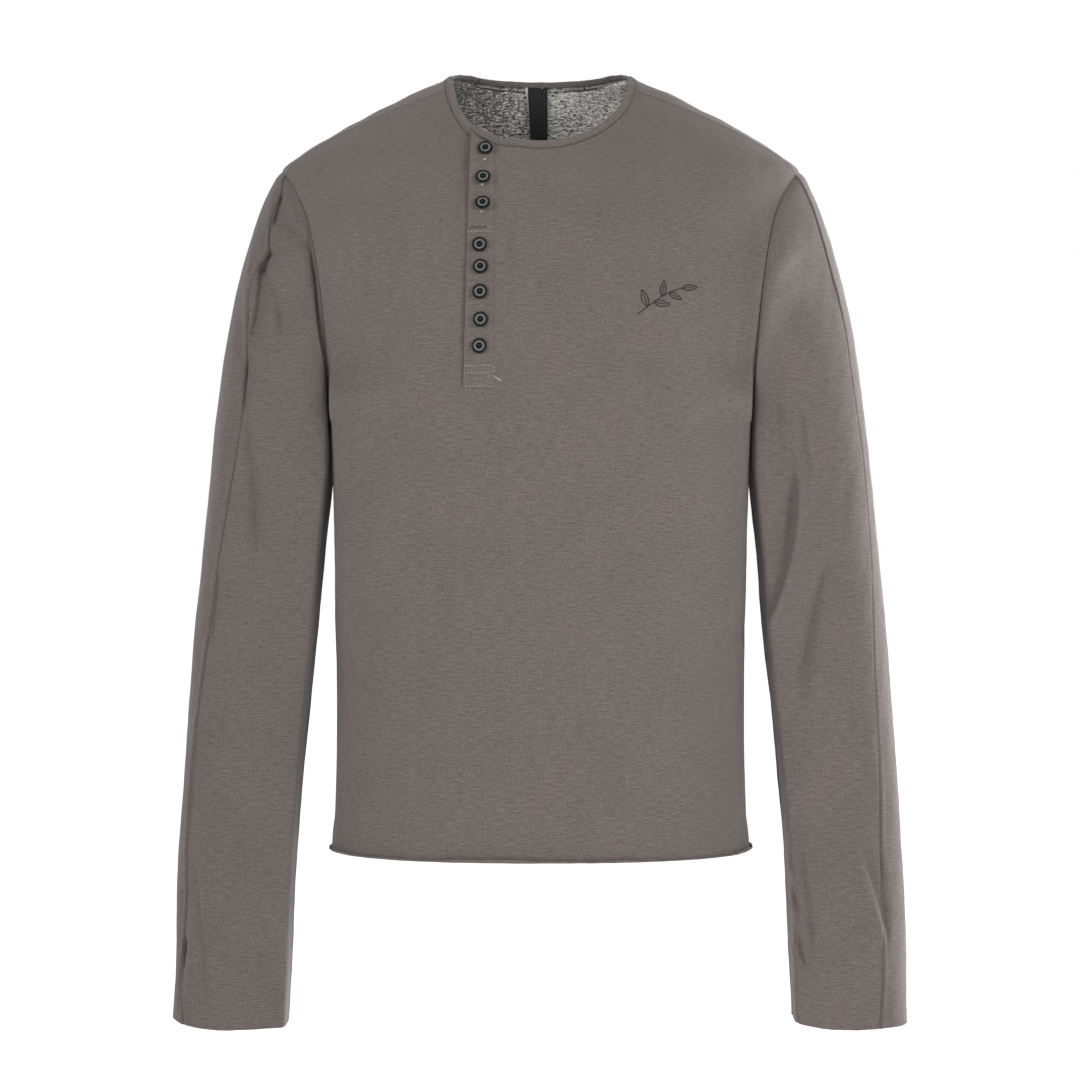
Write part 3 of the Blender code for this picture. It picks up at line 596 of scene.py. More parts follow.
def cloth_place(points, centre_column):
    """Each point's place on the flat cloth, whose courses run level until they go over the shoulders."""
    across = spans(points, 1)
    z = points[..., 2]
    over = SHOULDER_LEAN * smooth((z - SHOULDER_Z) / SHOULDER_SPAN)
    up = z + over * (SHOULDER_DEPTH - np.abs(points[..., 1]))
    return np.stack([across - across[:, centre_column][:, None], up], axis=-1)


def rolled_edge(points, normals, radius, turn):
    """The grid with rows added before its first one, where the raw edge rolls outward."""
    out = normals[0]
    down = points[0] - points[2]
    down = unit(down - dot(down, out) * out)
    rows, row_normals = [], []
    for share in np.linspace(1, 0, ROLL_ROWS + 1)[:-1]:
        angle = np.radians(turn * share)[:, None]
        rows.append(points[0] + radius * (down * np.sin(angle) + out * (1 - np.cos(angle))))
        row_normals.append(out * np.cos(angle) - down * np.sin(angle))
    return np.concatenate([rows, points]), np.concatenate([row_normals, normals])


def panel(name, grid, rough, move, shade, roll, turn, allowance, missing=None):
    """A panel of jersey on a grid that starts at its raw edge, which rolls round by turn with the radius
    roll."""
    points = grid + move
    points, normals = rolled_edge(points, outward(points, rough), roll, turn)
    added = len(points) - len(grid)
    shade = np.pad(shade, ((added, 0), (0, 0)))
    if missing is not None:
        missing = np.pad(missing, ((added, 0), (0, 0)))
    cloth = cloth_place(points, points.shape[1] // 2)
    return shell(name, points, points - JERSEY * normals, cloth, shade, missing, allowance)


def edge_distances(grid):
    """Distances from a grid's first and last columns and from its last row."""
    across, up = spans(grid, 1), spans(grid, 0)
    return across, across[:, -1:] - across, up[-1:] - up


def body_move(grid):
    """Seams, creases and unevenness of the front or the back, and its painted shade along the seams."""
    normals = outward(grid, form_normal(grid))
    left, right, top = edge_distances(grid)
    nearest = np.minimum(left, right)
    on_armhole = smooth((grid[..., 2] - UNDERARM_Z) / 24)
    below_shoulder = 1 - smooth((grid[..., 2] + 130) / 30)
    under_placket = bell(grid[..., 0] + 50, 28) * smooth((grid[..., 2] + 330) / 40)
    lift = seam_lift(nearest, depth=0.7, width=1.4, lip=0.3) * (1 - on_armhole)
    lift += seam_lift(nearest, depth=0.35, width=1.0, lip=0.55) * on_armhole * below_shoulder
    lift += seam_lift(top, depth=0.3, width=1.0, lip=0.25)
    lift += ripple(grid) * smooth(np.minimum(nearest, top) / 25) * (1 - under_placket)
    move = creased(grid, normals) * np.maximum(1 - on_armhole, smooth(nearest / 7))[..., None]
    move += lift[..., None] * normals
    flank = flank_forward(nearest, grid[..., 2], size=31, turn=7.5, reach=75)
    move[..., 1] -= armhole_forward(grid, nearest, reach=25) + flank * (grid[..., 1] < 0)
    return move, np.maximum(seam_shade(nearest), seam_shade(top))


def lower_grid(ratios, face):
    """Rows from above the hem's roll up to the underarm, not counting that one."""
    foot = HEM_Z + HEM_ROLL_START
    heights = foot + stops(UNDERARM_Z - foot, size=4.4, fine_end=False)[:-1] * (UNDERARM_Z - foot)
    return np.stack([on_face(ratios * column(TORSO, "half_width", z), z, face) for z in heights])


front_armhole = armhole(UNDERARM_Z, SHOULDER_SEAM_Z, FRONT)
behind_armhole = armhole(UNDERARM_Z, RIDGE_Z, BACK)
back_armhole = np.concatenate([behind_armhole, armhole(RIDGE_Z, SHOULDER_SEAM_Z, FRONT)[1:]])
arm_shares = stops(length_of(front_armhole), size=3.4)
seam_ends = neckline([NECK_SEAM_ANGLE])[0], front_armhole[-1]
straight = np.linspace(0, 1, 120)[:, None]
shoulder_line = onto_form((1 - straight) * seam_ends[0] + straight * seam_ends[1])
shoulder_shares = stops(length_of(shoulder_line), size=3.2, fine_start=False)
shoulder_seam = along(shoulder_line, shoulder_shares)
half_width = front_armhole[0][0]


def neck_piece(first, last, sag, fine_end=False):
    """The neckline between two angles."""
    angles = np.linspace(first, last, 200)
    curve = neckline(angles, sag(angles))
    return along(curve, stops(length_of(curve), size=3.0, fine_start=False, fine_end=fine_end))


def level_line(x0, x1, face, shares):
    """A level line across the front or the back at the underarm's height."""
    return along(on_face(crowded_ends(x0, x1), UNDERARM_Z, face), shares)


left_slot = slot_line(SLOT_LEFT_X, underlap_sag, arm_shares)
right_slot = slot_line(SLOT_RIGHT_X, overlap_sag, arm_shares)
arm_edge = along(front_armhole, arm_shares)
left_top = np.concatenate([mirrored(shoulder_seam)[::-1],
                           neck_piece(-NECK_SEAM_ANGLE, neck_angle(SLOT_LEFT_X[1]), underlap_sag,
                                      fine_end=True)[1:]])
right_top = np.concatenate([neck_piece(neck_angle(SLOT_RIGHT_X[1]), NECK_SEAM_ANGLE, overlap_sag),
                            shoulder_seam[1:]])
left_u, right_u = shares_of(left_top), shares_of(right_top)
left_part = patch(level_line(-half_width, left_slot[0][0], FRONT, left_u), left_top,
                  mirrored(arm_edge), left_slot, left_u, arm_shares)
right_part = patch(level_line(right_slot[0][0], half_width, FRONT, right_u), right_top,
                   right_slot, arm_edge, right_u, arm_shares)
slot_shares = np.linspace(0, 1, 8)[None, 1:-1, None]  # six columns between its edges
slot_part = (1 - slot_shares) * left_slot[:, None] + slot_shares * right_slot[:, None]
front_upper = np.concatenate([left_part, slot_part, right_part], axis=1)
front_upper[1:, 1:-1] = onto_form(front_upper[1:, 1:-1])
front_upper[0] = on_face(front_upper[0, :, 0], UNDERARM_Z, FRONT)
front_lower = lower_grid(front_upper[0, :, 0] / half_width, FRONT)
front_grid = np.concatenate([front_lower, front_upper])
# Between the slot's edges the cloth is cut away, from just above the placket's foot.
slot_open = np.zeros((front_grid.shape[0] - 1, front_grid.shape[1] - 1), bool)
first_open = len(front_lower) + int(np.argmax(left_slot[:, 2] > PLACKET_FOOT_Z + 2))
slot_open[first_open:, left_part.shape[1] - 1:left_part.shape[1] + slot_part.shape[1]] = True

move, shade = body_move(front_grid)
across = spans(front_grid, 1)
from_slot = across[:, left_part.shape[1] - 1][:, None] - across
height = front_grid[..., 2]
# Painted shadow darkens the cloth under the over-lap's free edge, and a fainter dark line is painted beside
# it.
edge_painted_shadow = 2.4 * (1 - smooth((from_slot - 1.9) / 0.8)) * smooth((height + 276) / 5)
beside = 0.7 * bell(from_slot - 3.7, 0.6) * band(height, foot=-246, foot_fade=8, top=-182, top_fade=8)
shade = np.maximum(shade, (edge_painted_shadow + beside) * (from_slot > -0.1))
front = panel("front_panel", front_grid, form_normal(front_grid), move, shade, HEM_ROLL,
              roll_turn(front_grid[0], (0, 0)), allowance=(0, 7), missing=slot_open)


def colour(*levels):
    """Screen levels from 0 to 255 as the linear values that a material holds."""
    shares = np.array(levels) / 255
    linear = np.where(shares <= 0.04045, shares / 12.92, ((shares + 0.055) / 1.055) ** 2.4)
    return (*linear, 1.0)


def add(tree, kind, inputs=(), **settings):
    """A shader node. inputs pairs sockets with values, or with the sockets that feed them."""
    node = tree.nodes.new(kind)
    for name, value in settings.items():
        setattr(node, name, value)
    for socket, value in dict(inputs).items():
        if isinstance(value, bpy.types.NodeSocket):
            tree.links.new(value, node.inputs[socket])
        else:
            node.inputs[socket].default_value = value
    return node


def new_group(name, inputs, outputs):
    """An empty node group with its inputs' and outputs' names and kinds."""
    group = bpy.data.node_groups.new(name, "ShaderNodeTree")
    for direction, sockets in (("INPUT", inputs), ("OUTPUT", outputs)):
        for socket, kind in sockets.items():
            group.interface.new_socket(name=socket, in_out=direction, socket_type=f"NodeSocket{kind}")
    return group, add(group, "NodeGroupInput").outputs, add(group, "NodeGroupOutput")


def place(tree, group, **inputs):
    """Puts a node group into a material and gives its outputs."""
    return add(tree, "ShaderNodeGroup", inputs, node_tree=group).outputs


def scaled(tree, vector, x, y):
    """A vector multiplied along x and y, for a pattern that is stretched."""
    return add(tree, "ShaderNodeVectorMath", {0: vector, 1: (x, y, 1)}, operation="MULTIPLY").outputs[0]


def noise(tree, vector, scale=1.0, detail=2.0, roughness=0.5):
    """A soft, irregular pattern from 0 to 1."""
    return add(tree, "ShaderNodeTexNoise", {"Vector": vector, "Scale": scale, "Detail": detail,
                                            "Roughness": roughness}).outputs["Fac"]


def math(tree, operation, a, b=0.0, clamp=False):
    """One step of arithmetic."""
    return add(tree, "ShaderNodeMath", {0: a, 1: b}, operation=operation, use_clamp=clamp).outputs[0]


def ranged(tree, value, low, high, to_low, to_high):
    """A value's range from low to high stretched to another one, and held within it."""
    return add(tree, "ShaderNodeMapRange", {"Value": value, "From Min": low, "From Max": high,
                                            "To Min": to_low, "To Max": to_high}).outputs[0]


def mixed(tree, share, a, b):
    """Colour a where share is 0, and b where it is 1."""
    return add(tree, "ShaderNodeMix", {"Factor": share, 6: a, 7: b}, data_type="RGBA").outputs[2]


def slub_melange():
    """Yarns of mixed fibres with thicker stretches: long faint streaks along the rows, flecks and clouds."""
    tree, given, result = new_group(
        "slub_melange",
        {"Place": "Vector", "Warm": "Color", "Cool": "Color", "Contrast": "Float"},
        {"Color": "Color", "Yarn": "Float"})
    streaks = noise(tree, scaled(tree, given["Place"], 0.12, 0.62), detail=2, roughness=0.6)
    slubs = noise(tree, scaled(tree, given["Place"], 0.045, 0.9), detail=2)
    flecks = noise(tree, scaled(tree, given["Place"], 0.5, 0.9), detail=1)
    clouds = noise(tree, given["Place"], 0.02, detail=3)
    thick = ranged(tree, slubs, 0.60, 0.70, 0.0, 0.5)
    yarn = math(tree, "ADD", math(tree, "ADD", ranged(tree, streaks, 0.3, 0.7, -0.8, 0.8),
                                  ranged(tree, flecks, 0.3, 0.7, -0.9, 0.9)), thick)
    brightness = math(tree, "ADD", math(tree, "MULTIPLY", yarn, given["Contrast"]), 1.0)
    base = mixed(tree, ranged(tree, clouds, 0.38, 0.62, 0.0, 1.0), given["Warm"], given["Cool"])
    shaded = add(tree, "ShaderNodeVectorMath", {0: base, "Scale": brightness}, operation="SCALE")
    tree.links.new(shaded.outputs[0], result.inputs["Color"])
    tree.links.new(yarn, result.inputs["Yarn"])
    return tree


def knit_stitches():
    """Plain knit: columns of V stitches, each leg a short slanted yarn."""
    wale, course = 0.82, 0.62  # how wide and how high a stitch is
    tree, given, result = new_group("knit_stitches", {"Place": "Vector"}, {"Height": "Float"})
    split = add(tree, "ShaderNodeSeparateXYZ", {0: given["Place"]}).outputs
    across = math(tree, "FRACT", math(tree, "DIVIDE", split[0], wale))
    from_middle = math(tree, "MULTIPLY", math(tree, "ABSOLUTE", math(tree, "SUBTRACT", across, 0.5)), 2.0)
    slant = math(tree, "SUBTRACT", math(tree, "DIVIDE", split[1], course),
                 math(tree, "MULTIPLY", from_middle, 0.8))
    wave = math(tree, "COSINE", math(tree, "MULTIPLY", slant, 2 * np.pi))
    yarn = ranged(tree, wave, -1, 1, 0, 1)
    leg = math(tree, "SINE", math(tree, "MULTIPLY", from_middle, np.pi))
    tree.links.new(math(tree, "MULTIPLY", yarn, leg), result.inputs["Height"])
    return tree


def painted_seam_shade():
    """Painted shade: cloth darkens towards a seam's groove, as much as its seam attribute says."""
    tree, given, result = new_group("painted_seam_shade", {"Color": "Color", "Depth": "Float"}, {"Color": "Color"})
    seam = add(tree, "ShaderNodeAttribute", attribute_name="seam").outputs["Fac"]
    share = math(tree, "MULTIPLY", seam, given["Depth"], clamp=True)
    tree.links.new(mixed(tree, share, given["Color"], (0.02, 0.018, 0.017, 1)), result.inputs["Color"])
    return tree


SLUB_MELANGE, KNIT_STITCHES, PAINTED_SEAM_SHADE = slub_melange(), knit_stitches(), painted_seam_shade()


def new_material(name, roughness, sheen=0.0):
    """A material with its node tree and its shader."""
    material = bpy.data.materials.new(name)
    material.use_nodes = True
    shader = material.node_tree.nodes["Principled BSDF"]
    shader.inputs["Roughness"].default_value = roughness
    shader.inputs["Specular IOR Level"].default_value = 0.25
    shader.inputs["Sheen Weight"].default_value = sheen
    shader.inputs["Sheen Roughness"].default_value = 0.45
    return material, material.node_tree, shader


def cloth_coordinates(tree):
    """A point's place on the flat cloth, in millimetres."""
    flat = add(tree, "ShaderNodeUVMap", uv_map="cloth").outputs[0]
    return add(tree, "ShaderNodeVectorMath", {0: flat, "Scale": 1000.0}, operation="SCALE").outputs[0]


def bumped(tree, shader, height, distance, strength=1.0):
    """Relief as deep as distance, in millimetres."""
    bump = add(tree, "ShaderNodeBump", {"Height": height, "Distance": distance * MM, "Strength": strength})
    tree.links.new(bump.outputs[0], shader.inputs["Normal"])


def jersey(name, warm, cool):
    """The cloth's face: plain knit in two close shades of a mottled yarn."""
    material, tree, shader = new_material(name, 0.88, sheen=0.16)
    where = cloth_coordinates(tree)
    melange = place(tree, SLUB_MELANGE, Place=where, Warm=warm, Cool=cool, Contrast=0.2)
    # Painted shade darkens the cloth's colour along the seams.
    painted_seam_shaded = place(tree, PAINTED_SEAM_SHADE, Color=melange["Color"], Depth=0.3)
    tree.links.new(painted_seam_shaded["Color"], shader.inputs["Base Color"])
    knit = place(tree, KNIT_STITCHES, Place=where)["Height"]
    height = math(tree, "ADD", knit, math(tree, "MULTIPLY", melange["Yarn"], 0.35))
    bumped(tree, shader, height, 0.12, 0.7)
    return material


def jersey_reverse():
    """The cloth's other side: loose loops of light and dark fibre in uneven rows."""
    material, tree, shader = new_material("jersey_reverse", 0.95, sheen=0.1)
    where = cloth_coordinates(tree)
    rows = noise(tree, scaled(tree, where, 0.13, 0.42), detail=3, roughness=0.65)
    loops = noise(tree, scaled(tree, where, 0.36, 0.62), detail=2, roughness=0.55)
    specks = add(tree, "ShaderNodeTexVoronoi",
                 {"Vector": scaled(tree, where, 0.27, 0.42), "Scale": 1.0, "Randomness": 0.8}).outputs[0]
    # Painted shade: the inside grows darker towards -X across the cloth.
    left_painted_shade = ranged(tree, add(tree, "ShaderNodeSeparateXYZ", {0: where}).outputs[0], -55, 5, -0.16, 0.02)
    light = ranged(tree, math(tree, "ADD", math(tree, "ADD", rows, loops), left_painted_shade), 0.82, 1.16, 0.0, 1.0)
    base = mixed(tree, light, colour(101, 99, 96), colour(238, 236, 231))
    dark = ranged(tree, math(tree, "ADD", specks, math(tree, "MULTIPLY", loops, 0.35)), 0.37, 0.49, 1.0, 0.0)
    speckled = mixed(tree, dark, base, colour(26, 26, 26))
    # Painted shade along the seams, and painted shadow under the binding.
    painted_seam_shaded = place(tree, PAINTED_SEAM_SHADE, Color=speckled, Depth=0.6)
    tree.links.new(painted_seam_shaded["Color"], shader.inputs["Base Color"])
    bumped(tree, shader, math(tree, "SUBTRACT", loops, dark), 0.35, 0.8)
    return material


JERSEY_FACE = jersey("jersey_face", colour(107, 98, 95), colour(103, 97, 93))
JERSEY_REVERSE = jersey_reverse()


def finish_cloth(piece, node, materials=(JERSEY_FACE, JERSEY_REVERSE)):
    """Gives a piece its outer and inner material and sets it in its node's place."""
    for material in materials:
        piece.data.materials.append(material)
    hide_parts(node)
    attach(piece, "root")


finish_cloth(front, "front")

# ======================================================================================================
# Back: one panel of the same jersey, plain, a little higher at the neck than the front. It is sewn to the
# front at the shoulders and sides, and its raw hem rolls outward as the front's does.

back_edge = along(back_armhole, arm_shares)
angles = np.linspace(360 - NECK_SEAM_ANGLE, NECK_SEAM_ANGLE, 400)
back_neck = neckline(angles)
back_neck = along(back_neck, stops(length_of(back_neck), size=3.2, fine_start=False, fine_end=False))
back_top = np.concatenate([mirrored(shoulder_seam)[::-1], back_neck[1:-1], shoulder_seam])
back_u = shares_of(back_top)
back_upper = patch(level_line(-half_width, half_width, BACK, back_u), back_top,
                   mirrored(back_edge), back_edge, back_u, arm_shares)
back_upper[1:-1, 1:-1] = onto_form(back_upper[1:-1, 1:-1])
back_grid = np.concatenate([lower_grid(back_upper[0, :, 0] / half_width, BACK), back_upper])

move, shade = body_move(back_grid)
back = panel("back_panel", back_grid, form_normal(back_grid), move, shade, HEM_ROLL,
             roll_turn(back_grid[0], (0, 0)), allowance=(0, 7))
finish_cloth(back, "back")

# ======================================================================================================
# Sleeves: each is two panels of jersey, a front and a back, sewn along the underarm and down the outside of
# the arm. Their heads are sewn into the armholes, and the right one is tucked below the shoulder. The cuffs
# are raw edges that roll a little.

CUFF_ROLL = 0.6  # radius of the roll at the cuff
CUFF_ROLL_START = 2.2  # how far above the cuff's foot the cloth turns
CUFF_TURN = 0.22  # of the hem's turn, since a cuff only curls
CUFF_BOW, CUFF_BOW_REACH = 4.0, 45.0  # how far its foot rises at the sides, and over what height
CUFF_BOW_LEAN = 0.5  # share by which it rises more at the inner side and less at the outer
BICEPS_Z = -352.0
CAP_SEAM_TURN = 168.0  # degrees round the armhole from the underarm to the shoulder seam
CAP_OUT_FULLNESS = {1: 0.37, -1: 0.47}
CAP_SIDE_FULLNESS = {1: 0.26, -1: 0.16}
CAP_LEAVE, CAP_ARRIVE = 0.95, 0.88  # how straight the cap leaves the armhole and meets the first ring
CAP_HEADING = 6  # the ring below it that it heads for as it arrives
INNER_POWER, OUTER_POWER = 18.0, 2.5  # above 2 its section is flatter than an ellipse
SLEEVE_SHARES = stops(length_of(front_armhole), size=2.2)  # finer than the body's, for the folds

# Level sections of a sleeve from the biceps down, with the middle and the half of its depth.
SLEEVE = table(
    "z inner outer middle_y half_depth",
    (-352.0, 181.4, 287.2, 4, 55),
    (-422.0, 188.6, 294.0, 4, 52),
    (-491.0, 194.5, 300.6, 2, 49),
    (-561.0, 202.0, 305.8, -2, 46),
    (-631.0, 207.8, 310.1, -7, 43),
    (-700.0, 212.4, 313.4, -13, 41),
    (-770.0, 214.8, 314.8, -19, 39),
    (-821.0, 216.6, 315.6, -24, 38),
)

# Where the outer seam runs, seen from the front. The right one is drawn in below each of its two tucks.
LEFT_SEAM = table(
    "z x",
    (-91.4, 218.0),
    (-109.6, 227.7),
    (-132.3, 236.6),
    (-155.0, 243.2),
    (-177.2, 249.0),
    (-199.5, 254.7),
    (-221.7, 259.8),
    (-243.8, 263.3),
    (-287.6, 269.4),
    (-352.0, 278.0),
    (-422.0, 283.8),
    (-491.0, 284.7),
    (-561.0, 287.6),
    (-631.0, 289.7),
    (-700.0, 290.4),
    (-770.0, 290.6),
    (-821.0, 287.8),
)
RIGHT_SEAM = table(
    "z x",
    (-91.4, 218.0),
    (-98.0, 219.6),
    (-109.7, 223.3),
    (-119.0, 227.2),
    (-128.7, 230.8),
    (-140.1, 231.7),
    (-158.0, 232.2),
    (-164.0, 235.5),
    (-170.3, 240.9),
    (-177.0, 244.2),
    (-185.6, 246.8),
    (-202.0, 249.7),
    (-222.0, 250.4),
    (-252.2, 250.6),
    (-282.0, 253.2),
    (-306.6, 255.7),
    (-352.0, 262.8),
    (-422.0, 275.2),
    (-491.0, 285.1),
    (-561.0, 294.4),
    (-631.0, 300.3),
    (-700.0, 303.8),
    (-770.0, 306.7),
    (-821.0, 303.5),
)


def part_ring(first, last, shares):
    """Points along part of a rounded, flattened ring, between two turns in degrees from the underarm."""
    turn = np.radians(np.linspace(first, last, 160))
    power = 2 / np.where((np.cos(turn) > 0) & (np.sin(turn) > 0), INNER_POWER, OUTER_POWER)
    flat = np.stack([-np.sign(np.cos(turn)) * np.abs(np.cos(turn)) ** power,
                     -np.sign(np.sin(turn)) * np.abs(np.sin(turn)) ** power, np.zeros(len(turn))], axis=1)
    return along(flat, shares)


def seamed_row(row, seam, base, drawn):
    """A row round the sleeve with its columns moved along it, so that the outer seam is where its table
    says. base is the seam's column, and drawn how far it has moved, from 0 beside the armhole to 1."""
    shares = shares_of(row)
    part = slice(base // 2, base + 3 * (len(row) - base) // 8)  # the outside of the arm
    beyond = row[part, 0] - column(seam, "x", row[part, 2])
    k = int(np.argmax(beyond > 0))
    found = np.interp(0, beyond[k - 1:k + 1], shares[part][k - 1:k + 1])
    there = shares[base] + (found - shares[base]) * drawn
    return np.concatenate([along(row, there * SLEEVE_SHARES),
                           along(row, there + (1 - there) * (1 - arm_shares[::-1]))[1:]])


def sleeve_rings(side):
    """Rings of the +X sleeve from the armhole down, each from the underarm round the front and back."""
    front_loop, back_loop = along(front_armhole, SLEEVE_SHARES), along(back_armhole, arm_shares)
    top = np.concatenate([front_loop, back_loop[::-1][1:]])
    back_shares = 1 - arm_shares[::-1]
    foot = SLEEVE["z"][-1] + CUFF_ROLL_START
    rows = foot + stops(BICEPS_Z - foot, size=3.3, fine_end=False)[::-1] * (BICEPS_Z - foot)
    inner, outer = column(SLEEVE, "inner", rows), column(SLEEVE, "outer", rows)
    middle_x, half_width = (inner + outer) / 2, (outer - inner) / 2
    middle_y, half_depth = column(SLEEVE, "middle_y", rows), column(SLEEVE, "half_depth", rows)
    seam = LEFT_SEAM if side > 0 else RIGHT_SEAM
    outward_share = (column(seam, "x", rows) - middle_x) / half_width
    turn = 180 - np.degrees(np.arccos(outward_share ** (OUTER_POWER / 2)))
    lower = []
    for k, z in enumerate(rows):
        ring = np.concatenate([part_ring(0, turn[k], SLEEVE_SHARES),
                               part_ring(turn[k], 360, back_shares)[1:]])
        row = ring * np.array([half_width[k], half_depth[k], 0]) + np.array([middle_x[k], middle_y[k], z])
        bowed = CUFF_BOW * ring[:, 0] ** 2 * (1 - CUFF_BOW_LEAN * side * ring[:, 0])
        row[:, 2] += bowed * smooth(1 - (z - foot) / CUFF_BOW_REACH)
        lower.append(row)
    lower = np.array(lower)

    # The cap runs from each point of the armhole to its point of the first ring, fuller over the shoulder.
    round_armhole = np.radians(np.concatenate([SLEEVE_SHARES * CAP_SEAM_TURN,
                                               CAP_SEAM_TURN + back_shares[1:] * (360 - CAP_SEAM_TURN)]))
    chord = lower[0] - top
    length = np.linalg.norm(chord, axis=1, keepdims=True)
    fuller = np.stack([CAP_OUT_FULLNESS[side] * (1 - np.cos(round_armhole)) / 2,
                       -CAP_SIDE_FULLNESS[side] * np.sin(round_armhole), np.zeros(len(top))], axis=1)
    leave = unit(chord / length + fuller) * length * CAP_LEAVE
    arrive = unit(lower[CAP_HEADING] - lower[0]) * length * CAP_ARRIVE
    s = stops(length.max(), size=3.0, fine_end=False)[:-1, None, None]
    cap = ((1 + 2 * s) * (1 - s) ** 2 * top + s * (1 - s) ** 2 * leave
           + s * s * (3 - 2 * s) * lower[0] - s * s * (1 - s) * arrive)
    base = len(SLEEVE_SHARES) - 1
    for k in range(1, len(cap)):
        away = np.linalg.norm(cap[k, base] - cap[0, base])
        cap[k] = seamed_row(cap[k], seam, base, smooth(away / 12))
    return np.concatenate([cap, lower])


# A sleeve's folds move mostly forward, so that each stays where it is drawn.
SIGHTLINE = np.array([0.35, 1, 0.35])
# How deep and how wide a sleeve sinks beside its armhole seam, down to what height, and how far the cloth
# beyond swells forward.
BESIDE_ARMHOLE = {1: (1.2, 5.0, -290, 1.5), -1: (9.0, 15.0, -330, 0.0)}
HEAD_PUFF = {1: 2.2, -1: 1.3}  # how far the sleeve's head rises just below the shoulder
FAINT_SEAM = {1: 0.65, -1: 0.0}  # how much fainter its outer seam is along the arm


def sleeve_move(points, normals, half, side):
    """Seams, creases and unevenness of half a sleeve, whose rows run from the cuff up, and its painted
    shade.
    """
    left, right, top = edge_distances(points)
    underarm, outer_seam = (left, right) if half == "front" else (right, left)
    z = points[..., 2]
    hollow, hollow_width, hollow_foot, swell = BESIDE_ARMHOLE[side]
    low = band(z, foot=hollow_foot, foot_fade=60, top=-125, top_fade=60)
    faint = 1 - FAINT_SEAM[side] * band(z, foot=-640, foot_fade=60, top=-185, top_fade=50)
    lift = seam_lift(underarm, depth=0.7, width=1.4, lip=0.3)
    lift += faint * seam_lift(outer_seam, depth=0.8, width=1.1, lip=0.15 if half == "front" else 0.9)
    lift += seam_lift(top, depth=0.3, width=1.2, lip=0.0)
    lift -= low * hollow * bell(top, hollow_width) * (1 - bell(top, 1.8))
    lift += 0.8 * ripple(points) * smooth(top / 30)
    lift += HEAD_PUFF[side] * (1 - bell(top, 5)) * bell(top, 38) * smooth((z + 160) / 40)
    move = creased(points, normals, unit(normals * SIGHTLINE)) * smooth(top / 7)[..., None]
    move += lift[..., None] * normals
    if half == "front":
        swell *= smooth((-150 - z) / 80) * smooth(underarm / 20) * (1 - np.exp(-top / 3))
        flank = flank_forward(underarm, z, size=21, turn=4, reach=60)
        move[..., 1] -= swell * bell(top, 22) + flank * smooth(top / 14)
        move[..., 1] -= armhole_forward(points, top, reach=48)
    # Painted shade along its seams.
    seams = np.maximum(seam_shade(underarm), faint * seam_shade(outer_seam))
    return move, np.maximum(seams, seam_shade(top))


# The right sleeve's material is a shade darker than the left's: painted shade, on the same cloth.
SLEEVE_JERSEY = {1: jersey("jersey_left_sleeve", colour(107, 98, 96), colour(103, 96, 93)),
                 -1: jersey("jersey_right_sleeve_painted_shade", colour(103, 95, 92), colour(99, 93, 90))}
# A sleeve panel's flat width and length in metres, and its area in square metres.
SLEEVE_CUTS = {"front": (0.13, 0.74, 0.085), "back": (0.20, 0.74, 0.125)}
for side, word in ((1, "left"), (-1, "right")):
    rings = sleeve_rings(side)[::-1] * np.array([side, 1, 1])
    steps = len(SLEEVE_SHARES)
    middle = rings.mean(axis=1, keepdims=True)
    for half, span in (("front", slice(0, steps)), ("back", slice(steps - 1, None))):
        grid = rings[:, span]
        rough = unit((grid - middle) * np.array([1, 1, 0.2]))
        move, shade = sleeve_move(grid, outward(grid, rough), half, side)
        piece = panel(f"sleeve_{word}_{half}_panel", grid, rough, move, shade, CUFF_ROLL,
                      CUFF_TURN * roll_turn(grid[0], middle[0, 0]), allowance=(8, 6))
        finish_cloth(piece, f"sleeve_{word}_{half}",
                     materials=(SLEEVE_JERSEY[side], JERSEY_REVERSE))
        width, length, area = SLEEVE_CUTS[half]

# ======================================================================================================
# Placket: two folded strips of jersey. The over-lap is sewn along the slot's right edge and over its foot
# and carries the buttonholes. The under-lap lies behind the slot and carries the buttons.

STRIP_CLOTH = 1.8  # thickness of a folded strip
OVER_OVERHANG, UNDER_OVERHANG = 1.6, 5.0  # past the slot's edges
OVER_HEIGHT, SEWN_HEIGHT = 2.4, 0.5  # of its face above the form, and at its sewn edge
FREE_EDGE_LIFT = 2.3  # how far the unbuttoned upper part of its free edge stands up
FREE_EDGE_TOP_Z, FREE_EDGE_FOOT_Z = -50.0, -142.0
FREE_EDGE_WAVE, FREE_EDGE_PITCH = 0.35, 31.0
BUTTON_DENT, BUTTON_DENT_REACH = 0.35, 8.0
FOOT_DENT, FOOT_DENT_REACH = 1.2, 9.0
TOPSTITCH_DENT, TOPSTITCH_IN = 0.35, 2.6  # its depth, and how far in from the sewn edge it is
UNDER_HEIGHT = -2.8
STRIP_COLUMNS = np.array([0, 0.25, 0.6, 1.1, 1.8, 2.8, 4, 6, 8, 10, 12, 14, 16, 18, 19.5, 20.8, 21.8, 22.6,
                          23.2, 23.7, 24]) / 24

# Buttons from the neck down. The tilt, in degrees, leans a button's top edge in.
BUTTONS = table(
    "x z tilt",
    (-46.1, -76.8, 0),
    (-47.7, -102.7, 12),
    (-47.9, -125.4, 10),
    (-50.2, -160.3, 2),
    (-49.5, -179.1, 2),
    (-49.7, -199.8, 0),
    (-49.1, -222.9, 0),
    (-50.1, -244.9, 0),
)


